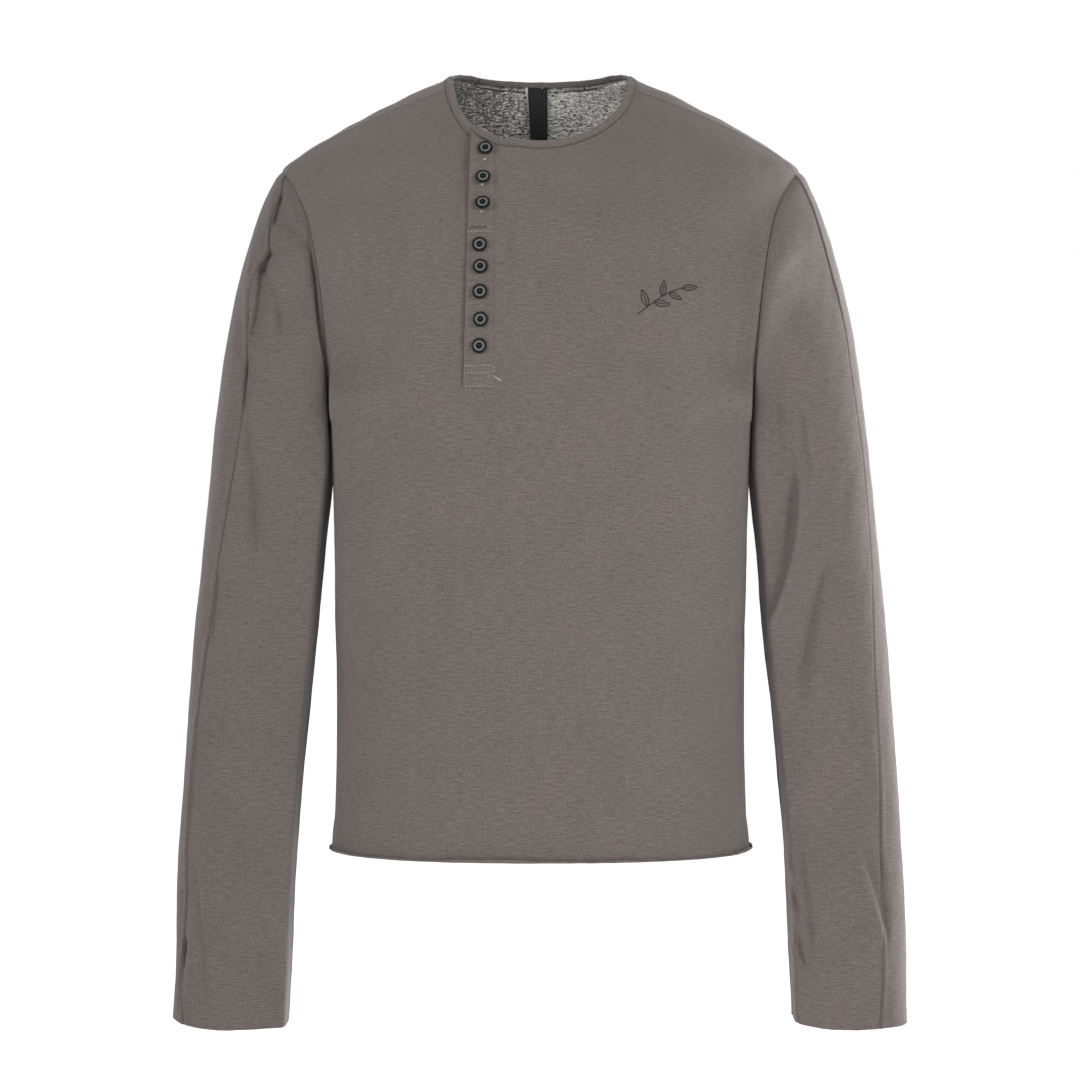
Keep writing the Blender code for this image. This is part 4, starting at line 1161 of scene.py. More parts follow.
def strip_base(overhang, sag, foot, top_gap):
    """A strip along the slot, on the form: its rows run from its foot up."""
    def x_at(share, z):
        left, right = slot_x(SLOT_LEFT_X, z) - overhang, slot_x(SLOT_RIGHT_X, z) + overhang
        return left + share * (right - left)

    shares, lines = stops(PLACKET_TOP_Z - foot, size=1.6), []
    for share in STRIP_COLUMNS:
        top = neck_height(x_at(share, PLACKET_TOP_Z), sag) - top_gap
        z = foot + shares * (top - foot)
        lines.append(on_face(x_at(share, z), z, FRONT))
    return np.stack(lines, axis=1)


def rounded(distance, radius):
    """How thick a strip is beside an edge that is rounded with a radius, from 0 to 1."""
    share = np.clip(distance / radius, 0, 1)
    return np.sqrt(1 - (1 - share) ** 2)


def strip_shell(name, base, height, full, start, shade):
    """A folded strip whose face is at a height above its base. start is its corner's place on the cloth."""
    middle, half = height - STRIP_CLOTH / 2, STRIP_CLOTH / 2 * full
    normals = form_normal(base)
    return shell(name, base + normals * (middle + half)[..., None],
                 base + normals * (middle - half)[..., None],
                 cloth_place(base, 0) + np.array(start), shade)


over_base = strip_base(OVER_OVERHANG, overlap_sag, PLACKET_FOOT_Z, top_gap=0.4)
left, right, _ = edge_distances(over_base)
foot = spans(over_base, 0)
across = left / left[:, -1:]
z = over_base[..., 2]
loose = band(z, foot=FREE_EDGE_FOOT_Z, foot_fade=45, top=FREE_EDGE_TOP_Z, top_fade=20)
height = OVER_HEIGHT - (OVER_HEIGHT - SEWN_HEIGHT) * smooth((across - 0.78) / 0.2)
height += FREE_EDGE_LIFT * loose * (1 - smooth(across / 0.55))
height += FREE_EDGE_WAVE * (1 - across) * np.sin(z * 2 * np.pi / FREE_EDGE_PITCH + 0.8)
for x, button_z in zip(BUTTONS["x"], BUTTONS["z"]):
    height -= BUTTON_DENT * bell(np.hypot(over_base[..., 0] - x, z - button_z), BUTTON_DENT_REACH)
height -= TOPSTITCH_DENT * bell(right - TOPSTITCH_IN, 0.7) + 0.5 * seam_shade(right)
height -= FOOT_DENT * (1 - smooth(foot / FOOT_DENT_REACH))
# The over-lap's sewn edge gets painted seam shade.
over = strip_shell("placket_over_strip", over_base, height, rounded(left, 0.9) * rounded(foot, 0.7),
                   (7.0, 11.0), 0.6 * seam_shade(right))
finish_cloth(over, "placket_over", materials=(JERSEY_FACE, JERSEY_FACE))

under_base = strip_base(UNDER_OVERHANG, underlap_sag, PLACKET_FOOT_Z - UNDER_OVERHANG, top_gap=1.2)
left, right, _ = edge_distances(under_base)
under = strip_shell("placket_under_strip", under_base, UNDER_HEIGHT,
                    rounded(left, 0.9) * rounded(right, 0.9), (40.0, 5.0), np.zeros(under_base.shape[:2]))
finish_cloth(under, "placket_under", materials=(JERSEY_FACE, JERSEY_FACE))

# ======================================================================================================
# Neck binding: a strip of jersey folded over the raw neck edge and topstitched beside its seam. Its ends
# pass over one another at the placket.

BINDING_LAP = 6.0  # how far its lower end runs on under the upper one
BINDING_DIP, BINDING_LIFT = 1.6, 3.4  # how far in its lower end lies, and how far out its upper one
BINDING_CLIMB = (25.0, 35.0)  # degrees from the front over which it climbs over the placket
BINDING_STEP = 0.9  # between its rings
STITCH = 2.3  # from one topstitch to the next
STITCH_ALONG = 1.7  # from the seam to the topstitches
SEAM_GAP = 0.34  # from the neck's edges

# Its section: along the cloth from the seam, and out from the form. Inside, the folded strip reaches only
# part of the way down, and below it the neck's own cloth shows its reverse.
BINDING_SECTION = table(
    "along out reverse",
    (0.0, -0.4, 0),
    (-0.42, -0.05, 0),
    (-0.2, 0.4, 0),
    (0.95, 0.72, 0),
    (1.7, 0.3, 0),
    (2.5, 0.82, 0),
    (4.6, 1.05, 0),
    (6.6, 1.1, 0),
    (8.2, 0.3, 0),
    (8.9, -0.5, 0),
    (8.6, -1.3, 0),
    (7.4, -1.9, 0),
    (5.6, -2.1, 0),
    (4.2, -2.05, 0),
    (3.7, -1.75, 0),
    (3.5, -1.2, 1),
    (2.4, -1.1, 1),
    (0.8, -1.1, 0),
    (0.1, -0.95, 0),
)


def eased(vectors, count):
    """Vectors along a line averaged with their neighbours."""
    padded = np.pad(vectors, ((count // 2, count // 2), (0, 0)), mode="edge")
    return np.stack([np.convolve(padded[:, k], np.ones(count) / count, "valid") for k in range(3)], axis=1)


def closed_curve(points, count):
    """A smooth closed curve through the points, with count points to each of its steps."""
    before, after, beyond = (np.roll(points, k, axis=0) for k in (1, -1, -2))
    t = np.arange(count)[None, :, None] / count
    p0, p1, p2, p3 = (p[:, None] for p in (before, points, after, beyond))
    curve = 0.5 * (2 * p1 + (p2 - p0) * t + (2 * p0 - 5 * p1 + 4 * p2 - p3) * t**2
                   + (3 * p1 - p0 - 3 * p2 + p3) * t**3)
    return curve.reshape(-1, points.shape[1])


under_angles = neck_angle(np.linspace(SLOT_LEFT_X[1] + BINDING_LAP, SLOT_LEFT_X[1], 20)[:-1])
over_angles = neck_angle(np.linspace(SLOT_RIGHT_X[1], SLOT_LEFT_X[1] - OVER_OVERHANG, 40)[1:])
left_angles = np.linspace(neck_angle(SLOT_LEFT_X[1]), -NECK_SEAM_ANGLE, 100)[:-1]
right_angles = np.linspace(NECK_SEAM_ANGLE, neck_angle(SLOT_RIGHT_X[1]), 200)
binding_line = np.concatenate([
    neckline(under_angles, underlap_sag(under_angles)), neckline(left_angles, underlap_sag(left_angles)),
    neckline(angles)[:-1], neckline(right_angles, overlap_sag(right_angles)),
    neckline(over_angles, overlap_sag(over_angles))])
lap_share = length_of(binding_line[:20]) / length_of(binding_line)
binding_shares = np.linspace(0, 1, round(length_of(binding_line) / BINDING_STEP))
binding_line = along(binding_line, binding_shares)
climb = smooth((-neck_angle(binding_line[:, 0]) - BINDING_CLIMB[0]) / (BINDING_CLIMB[1] - BINDING_CLIMB[0]))
climb = np.where(binding_shares > 0.5, BINDING_LIFT * climb, 0)
climb -= BINDING_DIP * (1 - smooth((binding_shares - lap_share) / 0.02))
inward = unit(np.cross(np.gradient(binding_line, axis=0), form_normal(binding_line)))
towards_middle = np.stack([-binding_line[:, 0], -binding_line[:, 1], np.full(len(binding_line), 60.0)], 1)
inward = unit(eased(inward * np.sign(dot(inward, towards_middle)), 25))
# Over the shoulders it is stretched, so it is narrower there, and it follows the back neck's rise.
narrowed = 1 - 0.15 * smooth((np.abs(binding_line[:, :1]) - 62) / 14)
raised = (binding_line - onto_form(binding_line)) * smooth((np.abs(binding_line[:, :1]) - 55) / 12)


def on_binding(shift, out):
    """The binding's line moved along the cloth from its seam and out from the form."""
    spot = onto_form(binding_line + inward * (SEAM_GAP / 2 + shift * narrowed))
    return spot + raised + form_normal(spot) * (out + climb)[:, None]


FACE_OUT = -0.5  # above it the section is the binding's outer face
section = closed_curve(np.stack([BINDING_SECTION["along"], BINDING_SECTION["out"]], axis=1), 2)
run = binding_shares * length_of(binding_line)
pucker = 0.1 * np.cos(2 * np.pi * run / STITCH)
rings = np.stack([
    on_binding(shift, out + (pucker * bell(shift - 2.6, 1.0) if out > FACE_OUT else 0.0))
    for shift, out in section], axis=1)
rings = np.concatenate([rings, rings[:, :1]], axis=1)


def tube_mesh(name, rings, cloth, second, shade, row_shade):
    """A closed tube from rows of closed rings whose first and last points are the same. second is 1 for the
    columns that show the second material. shade and row_shade give each column's and row's painted shade."""
    rows, columns = rings.shape[0], rings.shape[1] - 1
    index = np.arange(rows * columns).reshape(rows, columns)
    wrapped = np.concatenate([index, index[:, :1]], axis=1)
    faces = np.stack([wrapped[:-1, :-1], wrapped[:-1, 1:], wrapped[1:, 1:], wrapped[1:, :-1]], -1)
    corner = np.arange(rows * (columns + 1)).reshape(rows, columns + 1)
    places = np.stack([corner[:-1, :-1], corner[:-1, 1:], corner[1:, 1:], corner[1:, :-1]], -1)
    points = rings[:, :-1].reshape(-1, 3)
    faces, places = faces.reshape(-1, 4), places.reshape(-1, 4)
    a, b, c = points[faces[:, 0]], points[faces[:, 1]], points[faces[:, 3]]
    away = a - rings[:, :-1].mean(axis=1)[faces[:, 0] // columns]
    ends = [index[0][::-1].tolist(), index[-1].tolist()]
    if np.sum(np.cross(b - a, c - a) * away) < 0:
        faces, places, ends = faces[:, ::-1], places[:, ::-1], [end[::-1] for end in ends]
    piece = new_piece(name, points, faces.tolist() + ends)
    flat = cloth.reshape(-1, 2)
    caps = np.repeat(flat[[0, -1]], columns, axis=0)
    lay_cloth(piece.data, np.concatenate([flat[places.ravel()], caps]),
              np.maximum(shade[None], row_shade[:, None]).ravel(),
              np.concatenate([np.tile(second, rows - 1), [0, 0]]))
    return piece


girth = spans(rings, 1)
# Painted shadow on the binding's lower end, beside the upper end that lies over it.
lap_end_painted_shadow = bell(binding_line[:, 0] - binding_line[-1, 0] + 0.9, 0.9) * (binding_shares < 0.5)
binding_cloth = np.stack([np.broadcast_to(run[:, None], girth.shape), girth + 31.0], axis=-1)
reverse = np.repeat(BINDING_SECTION["reverse"], 2)
# Painted shade in the binding's seam and its topstitch groove, and painted shadow under the binding on the
# reverse columns inside.
shade = 1.7 * bell(section[:, 0], 0.5) + 0.9 * bell(section[:, 0] - STITCH_ALONG, 0.45)
shade = shade * (section[:, 1] > FACE_OUT) + reverse
binding = tube_mesh("neck_binding_band", rings, binding_cloth, reverse, shade, 2.2 * lap_end_painted_shadow)
BINDING_JERSEY = jersey("binding_jersey", colour(108, 99, 96), colour(103, 98, 94))
finish_cloth(binding, "neck_binding", (BINDING_JERSEY, JERSEY_REVERSE))

# ======================================================================================================
# Topstitching: taupe polyester thread, a shade lighter than the cloth. A row holds the binding down, another
# closes the over-lap's sewn edge, and bars of stitches tack the placket at its middle and its foot.

THREAD = 0.42  # its thickness
THREAD_SUNK = 0.35  # how far a stitch's ends lie in the cloth, for each millimetre of thickness


def stitch_row(points, normals, pitch=STITCH, gap=0.5):
    """Starts, ends and normals of stitches along a line."""
    length = length_of(points)
    count = max(1, round(length / pitch))
    first = (np.arange(count) * pitch + gap / 2) / (count * pitch)
    last = first + (pitch - gap) / (count * pitch)
    return along(points, first), along(points, last), unit(along(normals, (first + last) / 2))


def thread_mesh(name, rows, finish, thread=THREAD, arch=0.75):
    """Stitches as short arched strands with their ends sunk in the cloth."""
    starts, ends, normals = (np.concatenate(part) for part in zip(*rows))
    stations, sides = np.linspace(0, 1, 5), 6
    bulge = np.sin(np.pi * stations)[None, :, None]
    centres = (starts[:, None] + (ends - starts)[:, None] * stations[None, :, None]
               + normals[:, None] * thread * (arch * bulge - THREAD_SUNK))
    side = unit(np.cross(normals, ends - starts))[:, None]
    up = normals[:, None]
    radius = thread / 2 * (0.6 + 0.4 * bulge)  # thinner at its ends
    around = np.linspace(0, 2 * np.pi, sides, endpoint=False)
    points = (centres[:, :, None] + radius[:, :, None]
              * (side[:, :, None] * np.cos(around)[None, None, :, None]
                 + up[:, :, None] * np.sin(around)[None, None, :, None]))
    count = len(stations) * sides
    ring = np.arange(count).reshape(len(stations), sides)
    wrapped = np.concatenate([ring, ring[:, :1]], axis=1)
    quads = np.stack([wrapped[:-1, :-1], wrapped[1:, :-1], wrapped[1:, 1:], wrapped[:-1, 1:]], -1)
    quads = quads.reshape(-1, 4)
    faces = []
    for k in range(len(starts)):
        faces += (quads + k * count).tolist()
        faces.append((ring[0] + k * count).tolist())
        faces.append((ring[-1][::-1] + k * count).tolist())
    piece = new_piece(name, points, faces)
    piece.data.materials.append(finish)
    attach(piece, "root")


def twisted_thread():
    """The light and dark of a thread's twist and of its fibres."""
    tree, given, result = new_group("twisted_thread", {"Place": "Vector"}, {"Ply": "Float"})
    wave = add(tree, "ShaderNodeTexWave", {"Vector": given["Place"], "Scale": 900.0, "Distortion": 2.0},
               bands_direction="DIAGONAL").outputs["Fac"]
    fibre = noise(tree, given["Place"], 2500.0)
    tree.links.new(math(tree, "MULTIPLY", math(tree, "ADD", wave, fibre), 0.5), result.inputs["Ply"])
    return tree


TWISTED_THREAD = twisted_thread()


def thread_material(name, dark, light):
    """Twisted polyester thread."""
    material, tree, shader = new_material(name, 0.55, sheen=0.3)
    spot = add(tree, "ShaderNodeTexCoord").outputs["Object"]
    ply = place(tree, TWISTED_THREAD, Place=spot)["Ply"]
    tree.links.new(mixed(tree, ply, dark, light), shader.inputs["Base Color"])
    bumped(tree, shader, ply, 0.05)
    return material


TAUPE_THREAD = thread_material("thread_taupe", colour(118, 110, 105), colour(152, 144, 137))
LIGHT_THREAD = thread_material("thread_light", colour(160, 153, 146), colour(198, 192, 184))
PALE_THREAD = thread_material("thread_pale", colour(150, 146, 139), colour(196, 192, 185))
BLACK_THREAD = thread_material("thread_black", colour(12, 12, 13), colour(30, 30, 31))

binding_stitches = on_binding(STITCH_ALONG, 0.5)
thread_mesh("binding_topstitch", [stitch_row(binding_stitches, form_normal(binding_stitches))], TAUPE_THREAD)

over_face = over_base + form_normal(over_base) * height[..., None]


def on_strip(x, z):
    """The over-lap's face at the given x and z."""
    spots = []
    for spot_x, spot_z in zip(np.atleast_1d(x), np.atleast_1d(z)):
        gap = np.hypot(over_face[..., 0] - spot_x, over_face[..., 2] - spot_z)
        i, j = np.unravel_index(np.argmin(gap), gap.shape)
        spot = on_face(spot_x, spot_z, FRONT)
        spots.append(spot + form_normal(spot) * height[i, j])
    return np.array(spots)


def strip_row(x0, z0, x1, z1, pitch, gap):
    """A straight row of stitches on the over-lap."""
    share = np.linspace(0, 1, max(3, int(np.hypot(x1 - x0, z1 - z0) / 2)))
    points = on_strip(x0 + (x1 - x0) * share, z0 + (z1 - z0) * share)
    return stitch_row(points, form_normal(points), pitch, gap)


# Rows of tacking: one across the placket's middle, and a box at its foot.
TACKS = table(
    "x0 z0 x1 z1",
    (-61.0, -149.0, -38.8, -149.0),
    (-63.4, -261.1, -38.8, -261.1),
    (-63.4, -266.8, -38.8, -266.8),
    (-62.4, -278.1, -38.8, -278.1),
    (-38.4, -261.1, -38.4, -266.8),
)
BAR_FOOT_Z, BAR_TOP_Z, BAR_STEP = -147.2, -143.8, 2.4  # of the zigzag that bars the placket's middle
BAR_COVER = 0.85  # how far each of its stitches reaches to the next

thread_mesh("placket_topstitch", [strip_row(-41.6, -70, -42.0, -277, pitch=2.6, gap=0.7)], TAUPE_THREAD)
tack_rows = [strip_row(*row, pitch=2.65, gap=1.6) for row in zip(*TACKS.values())]
zigzag = np.arange(-58.5, -38.0, BAR_STEP)
turns = on_strip(zigzag, np.where(np.arange(len(zigzag)) % 2, BAR_TOP_Z, BAR_FOOT_Z))[:, None]
slants = [(here, after * BAR_COVER + here * (1 - BAR_COVER), form_normal(here))
          for here, after in zip(turns, turns[1:])]
loose_end = on_strip([-38.6, -29.8], [-269.4, -275.2])
tack_rows.append((loose_end[:1], loose_end[1:], form_normal(loose_end[:1])))
thread_mesh("placket_tacks", tack_rows, LIGHT_THREAD, thread=0.75, arch=0.9)
thread_mesh("placket_bar", slants[4:], TAUPE_THREAD, thread=0.5)
thread_mesh("placket_dark_tack", slants[:6], BLACK_THREAD, thread=0.6, arch=0.9)

# ======================================================================================================
# Buttonholes: upright slits in the over-lap, overcast with close stitches. Below the three upper buttons the
# last stitches of each hole show, in a paler thread.

HOLE_LENGTH, HOLE_HALF_WIDTH, SLIT_HALF_WIDTH = 13.5, 1.1, 0.15
HOLE_PITCH, HOLE_SLANT = 0.62, 0.1  # from one overcast stitch to the next, and how far each slants
# Where the lower ends of the three upper holes show below their buttons.
HOLE_ENDS = table("x z", (-46.8, -86.9), (-48.6, -108.7), (-48.9, -132.3))
hole_rows, slit_painted_shadow_rows, pale_rows = [], [], []
for k, (x, button_z) in enumerate(zip(BUTTONS["x"], BUTTONS["z"])):
    foot_z = button_z - HOLE_LENGTH / 2
    if k < len(HOLE_ENDS["z"]):
        x, foot_z = HOLE_ENDS["x"][k], HOLE_ENDS["z"][k] + 1.0
        for rise in (-1.2, -0.6, 0.0):
            a, b = on_strip([x - HOLE_HALF_WIDTH, x + HOLE_HALF_WIDTH],
                            [foot_z + rise, foot_z + rise + HOLE_SLANT])[:, None]
            pale_rows.append((a, b, form_normal(a)))
        # Black strands along the open cut below each upper button stand in for the painted shadow in the
        # slit.
        a, b = on_strip([x, x], [foot_z + 0.3, foot_z + 3.5])[:, None]
        slit_painted_shadow_rows.append((a, b, form_normal(a)))
    steps = np.arange(0, HOLE_LENGTH, HOLE_PITCH)
    for edge in (-1, 1):
        a = on_strip(np.full(len(steps), x + SLIT_HALF_WIDTH * edge), foot_z + steps)
        b = on_strip(np.full(len(steps), x + HOLE_HALF_WIDTH * edge), foot_z + steps + HOLE_SLANT)
        hole_rows.append((a, b, form_normal(a)))
thread_mesh("buttonhole_stitches", hole_rows, TAUPE_THREAD)
thread_mesh("buttonhole_slits_painted_shadow", slit_painted_shadow_rows, BLACK_THREAD, thread=0.7, arch=0.6)
thread_mesh("buttonhole_ends", pale_rows, PALE_THREAD, thread=0.6)

# ======================================================================================================
# Buttons: eight turned resin buttons of the 20-line size, grey with a dark polished rim and a satin dish,
# and a black well with four holes. Each is sewn on with a cross of black thread.

BUTTON_SEGMENTS = 56
BUTTON_STANDOFF = 2.75  # of a button's back from the form
HOLE_RADIUS, HOLE_REACH = 0.62, 1.2  # of a thread hole, and how far it is from the middle
DRILL_HEIGHTS, DRILL_SEGMENTS = (-1.0, 4.0), 14
BUTTON_SHARP_TURN = np.radians(38)  # from which its edges show
WELL_HEIGHT = 1.25
BUTTON_PROFILE = table(
    "radius height",
    (4.6, 0.0),
    (5.4, 0.12),
    (6.05, 0.5),
    (6.33, 1.05),
    (6.35, 1.6),
    (6.2, 2.1),
    (5.9, 2.42),
    (5.55, 2.5),
    (5.25, 2.4),
    (5.05, 2.18),
    (4.7, 2.04),
    (4.1, 1.98),
    (3.4, 2.06),
    (3.05, 2.2),
    (2.8, 2.14),
    (2.64, 1.8),
    (2.5, 1.4),
    (2.3, WELL_HEIGHT),
)


def lathe(name, radius, height, segments):
    """A closed turned body from a profile that runs from its back to its front."""
    turns = np.linspace(0, 2 * np.pi, segments, endpoint=False)
    points = np.stack([radius[:, None] * np.cos(turns), radius[:, None] * np.sin(turns),
                       np.broadcast_to(height[:, None], (len(radius), segments))], axis=-1)
    index = np.arange(points.shape[0] * segments).reshape(-1, segments)
    after = np.roll(index, -1, axis=1)
    quads = np.stack([index[:-1], after[:-1], after[1:], index[1:]], -1).reshape(-1, 4)
    return new_piece(name, points, quads.tolist() + [index[0][::-1].tolist(), index[-1].tolist()])


def drilled_button():
    """One button's mesh with its four holes cut through."""
    blank = lathe("button_blank", BUTTON_PROFILE["radius"], BUTTON_PROFILE["height"], BUTTON_SEGMENTS)
    drills = []
    for quarter in range(4):
        turn = np.pi / 4 + quarter * np.pi / 2
        drill = lathe("drill", np.full(2, HOLE_RADIUS), np.array(DRILL_HEIGHTS), DRILL_SEGMENTS)
        drill.location = (HOLE_REACH * MM * np.cos(turn), HOLE_REACH * MM * np.sin(turn), 0)
        cut = blank.modifiers.new("hole", "BOOLEAN")
        cut.operation, cut.object = "DIFFERENCE", drill
        drills.append(drill)
    mesh = bpy.data.meshes.new_from_object(blank.evaluated_get(bpy.context.evaluated_depsgraph_get()))
    for used in [blank, *drills]:
        bpy.data.objects.remove(used)
    mesh.shade_smooth()
    mesh.set_sharp_from_angle(angle=BUTTON_SHARP_TURN)
    return mesh


def button_resin():
    """Resin whose rim is polished dark, whose dish is satin grey and whose well is nearly black."""
    material, tree, shader = new_material("button_resin", 0.3)
    shader.inputs["Specular IOR Level"].default_value = 0.16
    spot = add(tree, "ShaderNodeTexCoord").outputs["Object"]
    level = add(tree, "ShaderNodeVectorMath", {0: spot, 1: (1000, 1000, 0)}, operation="MULTIPLY").outputs[0]
    radius = add(tree, "ShaderNodeVectorMath", {0: level}, operation="LENGTH").outputs["Value"]
    ramp = add(tree, "ShaderNodeValToRGB", {0: math(tree, "DIVIDE", radius, 6.4)})
    # Screen levels from the well out to the rim, at shares of 6.4 mm from the middle.
    # The light ring near the well is a painted highlight, and the dish's darkening in its outer part is
    # painted shade.
    well_to_rim = ((0.0, (4, 4, 5)), (0.41, (6, 6, 7)), (0.46, (98, 100, 99)), (0.53, (132, 134, 132)),
                   (0.60, (96, 98, 97)), (0.69, (60, 62, 61)), (0.75, (14, 15, 15)), (1.0, (9, 10, 10)))
    elements = ramp.color_ramp.elements
    for k, (where, levels) in enumerate(well_to_rim):
        element = elements[k] if k < 2 else elements.new(where)
        element.position, element.color = where, colour(*levels)
    mottle = noise(tree, spot, 900.0, detail=3)
    swirl = noise(tree, scaled(tree, spot, 3000.0, 420.0), detail=2)
    shaded = mixed(tree, ranged(tree, mottle, 0.35, 0.65, 0.0, 0.16), ramp.outputs[0], colour(58, 60, 60))
    tree.links.new(shaded, shader.inputs["Base Color"])
    satin = math(tree, "MULTIPLY", ranged(tree, radius, 5.1, 5.3, 0.4, 0.32),
                 ranged(tree, swirl, 0.3, 0.7, 0.85, 1.15))
    tree.links.new(satin, shader.inputs["Roughness"])
    turning = math(tree, "SINE", math(tree, "MULTIPLY", radius, 34.0))
    bumped(tree, shader, math(tree, "ADD", turning, swirl), 0.008, 0.6)
    return material


BUTTON_RESIN = button_resin()
button_mesh = drilled_button()
button_mesh.materials.append(BUTTON_RESIN)
cross_rows = []
for k, (x, button_z, tilt) in enumerate(zip(*BUTTONS.values())):
    spot = on_face(x, button_z, FRONT)
    normal = form_normal(spot)
    lean = np.radians(tilt)
    across = unit(np.cross([0.0, 0.0, 1.0], normal))
    up = np.cross(normal, across)
    axis = normal * np.cos(lean) + up * np.sin(lean)
    upright = np.cross(axis, across)
    middle = spot + normal * (BUTTON_STANDOFF + BUTTON_PROFILE["radius"].max() * np.sin(lean))
    button = bpy.data.objects.new(f"button_{k + 1}_turned", button_mesh.copy())
    bpy.context.scene.collection.objects.link(button)
    button.matrix_world = Matrix([
        (across[0], upright[0], axis[0], middle[0] * MM),
        (across[1], upright[1], axis[1], middle[1] * MM),
        (across[2], upright[2], axis[2], middle[2] * MM),
        (0, 0, 0, 1)])
    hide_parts(f"button_{k + 1}")
    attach(button, "root")
    well = middle + axis * (WELL_HEIGHT + 0.1)
    for strand in (-0.32, 0.0, 0.32):  # three turns of thread side by side
        for sign in (-1, 1):
            run = unit(across + sign * upright)
            beside = np.cross(axis, run) * strand
            cross_rows.append((np.array([well - run * HOLE_REACH + beside]),
                               np.array([well + run * HOLE_REACH + beside]), np.array([axis])))
thread_mesh("button_threads", cross_rows, BLACK_THREAD, thread=0.4, arch=1.1)

# ======================================================================================================
# Labels: two bare ribbons sewn into the back neck seam, a black satin one and, behind it, a narrower-showing
# white tape. Nothing is woven or printed on them.

LABEL_TOP_Z = 0.6  # tucked under the binding
LABEL_TUCK, LABEL_FREE = 1.6, 9.0  # its inset at the top, and how far down it hangs free
LABEL_CLOTH, LABEL_SELVEDGE = 0.6, 0.12  # its thickness, and how far its edges stand out
# The white one and the black one: how far each hangs inside the form, where its left and right sides start,
# its length, how far each side leans by its foot, and how much it waves.
LABELS = table(
    "inset left right length left_lean right_lean wave",
    (2.5, -14.0, 2.0, 58.0, 9.0, 2.5, 0.5),
    (3.8, -11.5, 6.4, 82.0, 4.6, 0.0, 0.9),
)


def ribbon_weave():
    """Fine cross ribs of a woven ribbon, and its worn light and dark."""
    tree, given, result = new_group("ribbon_weave", {"Place": "Vector"},
                                    {"Height": "Float", "Light": "Float"})
    split = add(tree, "ShaderNodeSeparateXYZ", {0: given["Place"]}).outputs
    ribs = math(tree, "SINE", math(tree, "MULTIPLY", split[1], 2 * np.pi / 0.42))
    warp = math(tree, "SINE", math(tree, "MULTIPLY", split[0], 2 * np.pi / 0.25))
    both = math(tree, "ADD", ribs, math(tree, "MULTIPLY", warp, 0.4))
    worn = noise(tree, scaled(tree, given["Place"], 0.35, 1.6), detail=3)
    light = math(tree, "ADD", math(tree, "MULTIPLY", both, 0.12), worn, clamp=True)
    tree.links.new(both, result.inputs["Height"])
    tree.links.new(light, result.inputs["Light"])
    return tree


RIBBON_WEAVE = ribbon_weave()


def ribbon(name, dark, light, roughness):
    """Woven satin ribbon."""
    material, tree, shader = new_material(name, roughness, sheen=0.1)
    weave = place(tree, RIBBON_WEAVE, Place=cloth_coordinates(tree))
    tree.links.new(mixed(tree, weave["Light"], dark, light), shader.inputs["Base Color"])
    bumped(tree, shader, weave["Height"], 0.05)
    return material


WHITE_RIBBON = ribbon("white_satin", colour(206, 206, 203), colour(226, 226, 224), 0.6)
BLACK_RIBBON = ribbon("black_satin", colour(26, 26, 27), colour(44, 44, 45), 0.42)
for name, slot, material, (inset, left, right, length, left_lean, right_lean, wave) in zip(
        ("care_label", "neck_label"), ("white_ribbon", "black_ribbon"), (WHITE_RIBBON, BLACK_RIBBON),
        zip(*LABELS.values())):
    z = np.linspace(LABEL_TOP_Z, LABEL_TOP_Z - length, 60)
    down = (LABEL_TOP_Z - z) / length
    edges = [0, 0.02, 0.05, 0.1, 0.25, 0.4, 0.55, 0.7, 0.9, 0.95, 0.98, 1]
    grid = np.stack([on_face((1 - share) * (left + left_lean * down) + share * (right + right_lean * down),
                             z, BACK) for share in edges], axis=1)
    normals = form_normal(grid)
    hang = LABEL_TUCK + (inset - LABEL_TUCK) * smooth((LABEL_TOP_Z - z) / LABEL_FREE)
    sway = hang[:, None] + wave * (np.sin(down * 5.2) * down)[:, None] * np.linspace(0.6, 1.2, len(edges))
    selvedge = LABEL_SELVEDGE * (np.abs(np.array(edges) - 0.5) > 0.44)[None]
    strip = shell(name + "_ribbon", grid - normals * (sway + LABEL_CLOTH / 2 + selvedge)[..., None],
                  grid - normals * (sway - LABEL_CLOTH / 2 - selvedge)[..., None],
                  cloth_place(grid, 0), np.zeros(grid.shape[:2]))
    finish_cloth(strip, name, (material, material))

# ======================================================================================================
# Chest motif: a plain leaf sprig embroidered on the wearer's left in thick black thread. Its stem, its
# leaves' outlines and their veins are single rows of close stitches through the front.

MOTIF_X, MOTIF_Z = 102.0, -203.0  # its middle
# Each leaf: where it leaves the stem, its length and width, and its turn from the stem in degrees.
LEAVES = table(
    "share length width turn",
    (0.22, 15.0, 5.6, 58.0),
    (0.36, 14.0, 5.2, -50.0),
    (0.55, 13.5, 5.0, 52.0),
    (0.70, 12.0, 4.6, -48.0),
    (1.00, 13.0, 4.8, 2.0),
)


def stem(share):
    """The sprig's stem: from its foot at the lower left up to the right, bending over."""
    angle = np.radians(62) - np.radians(58) * share
    return np.stack([-22 + 38 * share, -15 + 24 * np.sin(np.radians(74) * share)], axis=-1), angle


def motif_route(flat):
    """A line of the motif laid on the front, with the cloth's normals."""
    spots = on_face(MOTIF_X + flat[:, 0], MOTIF_Z + flat[:, 1], FRONT)
    normals = form_normal(spots)
    return spots + normals * (0.25 + ripple(spots))[:, None], normals


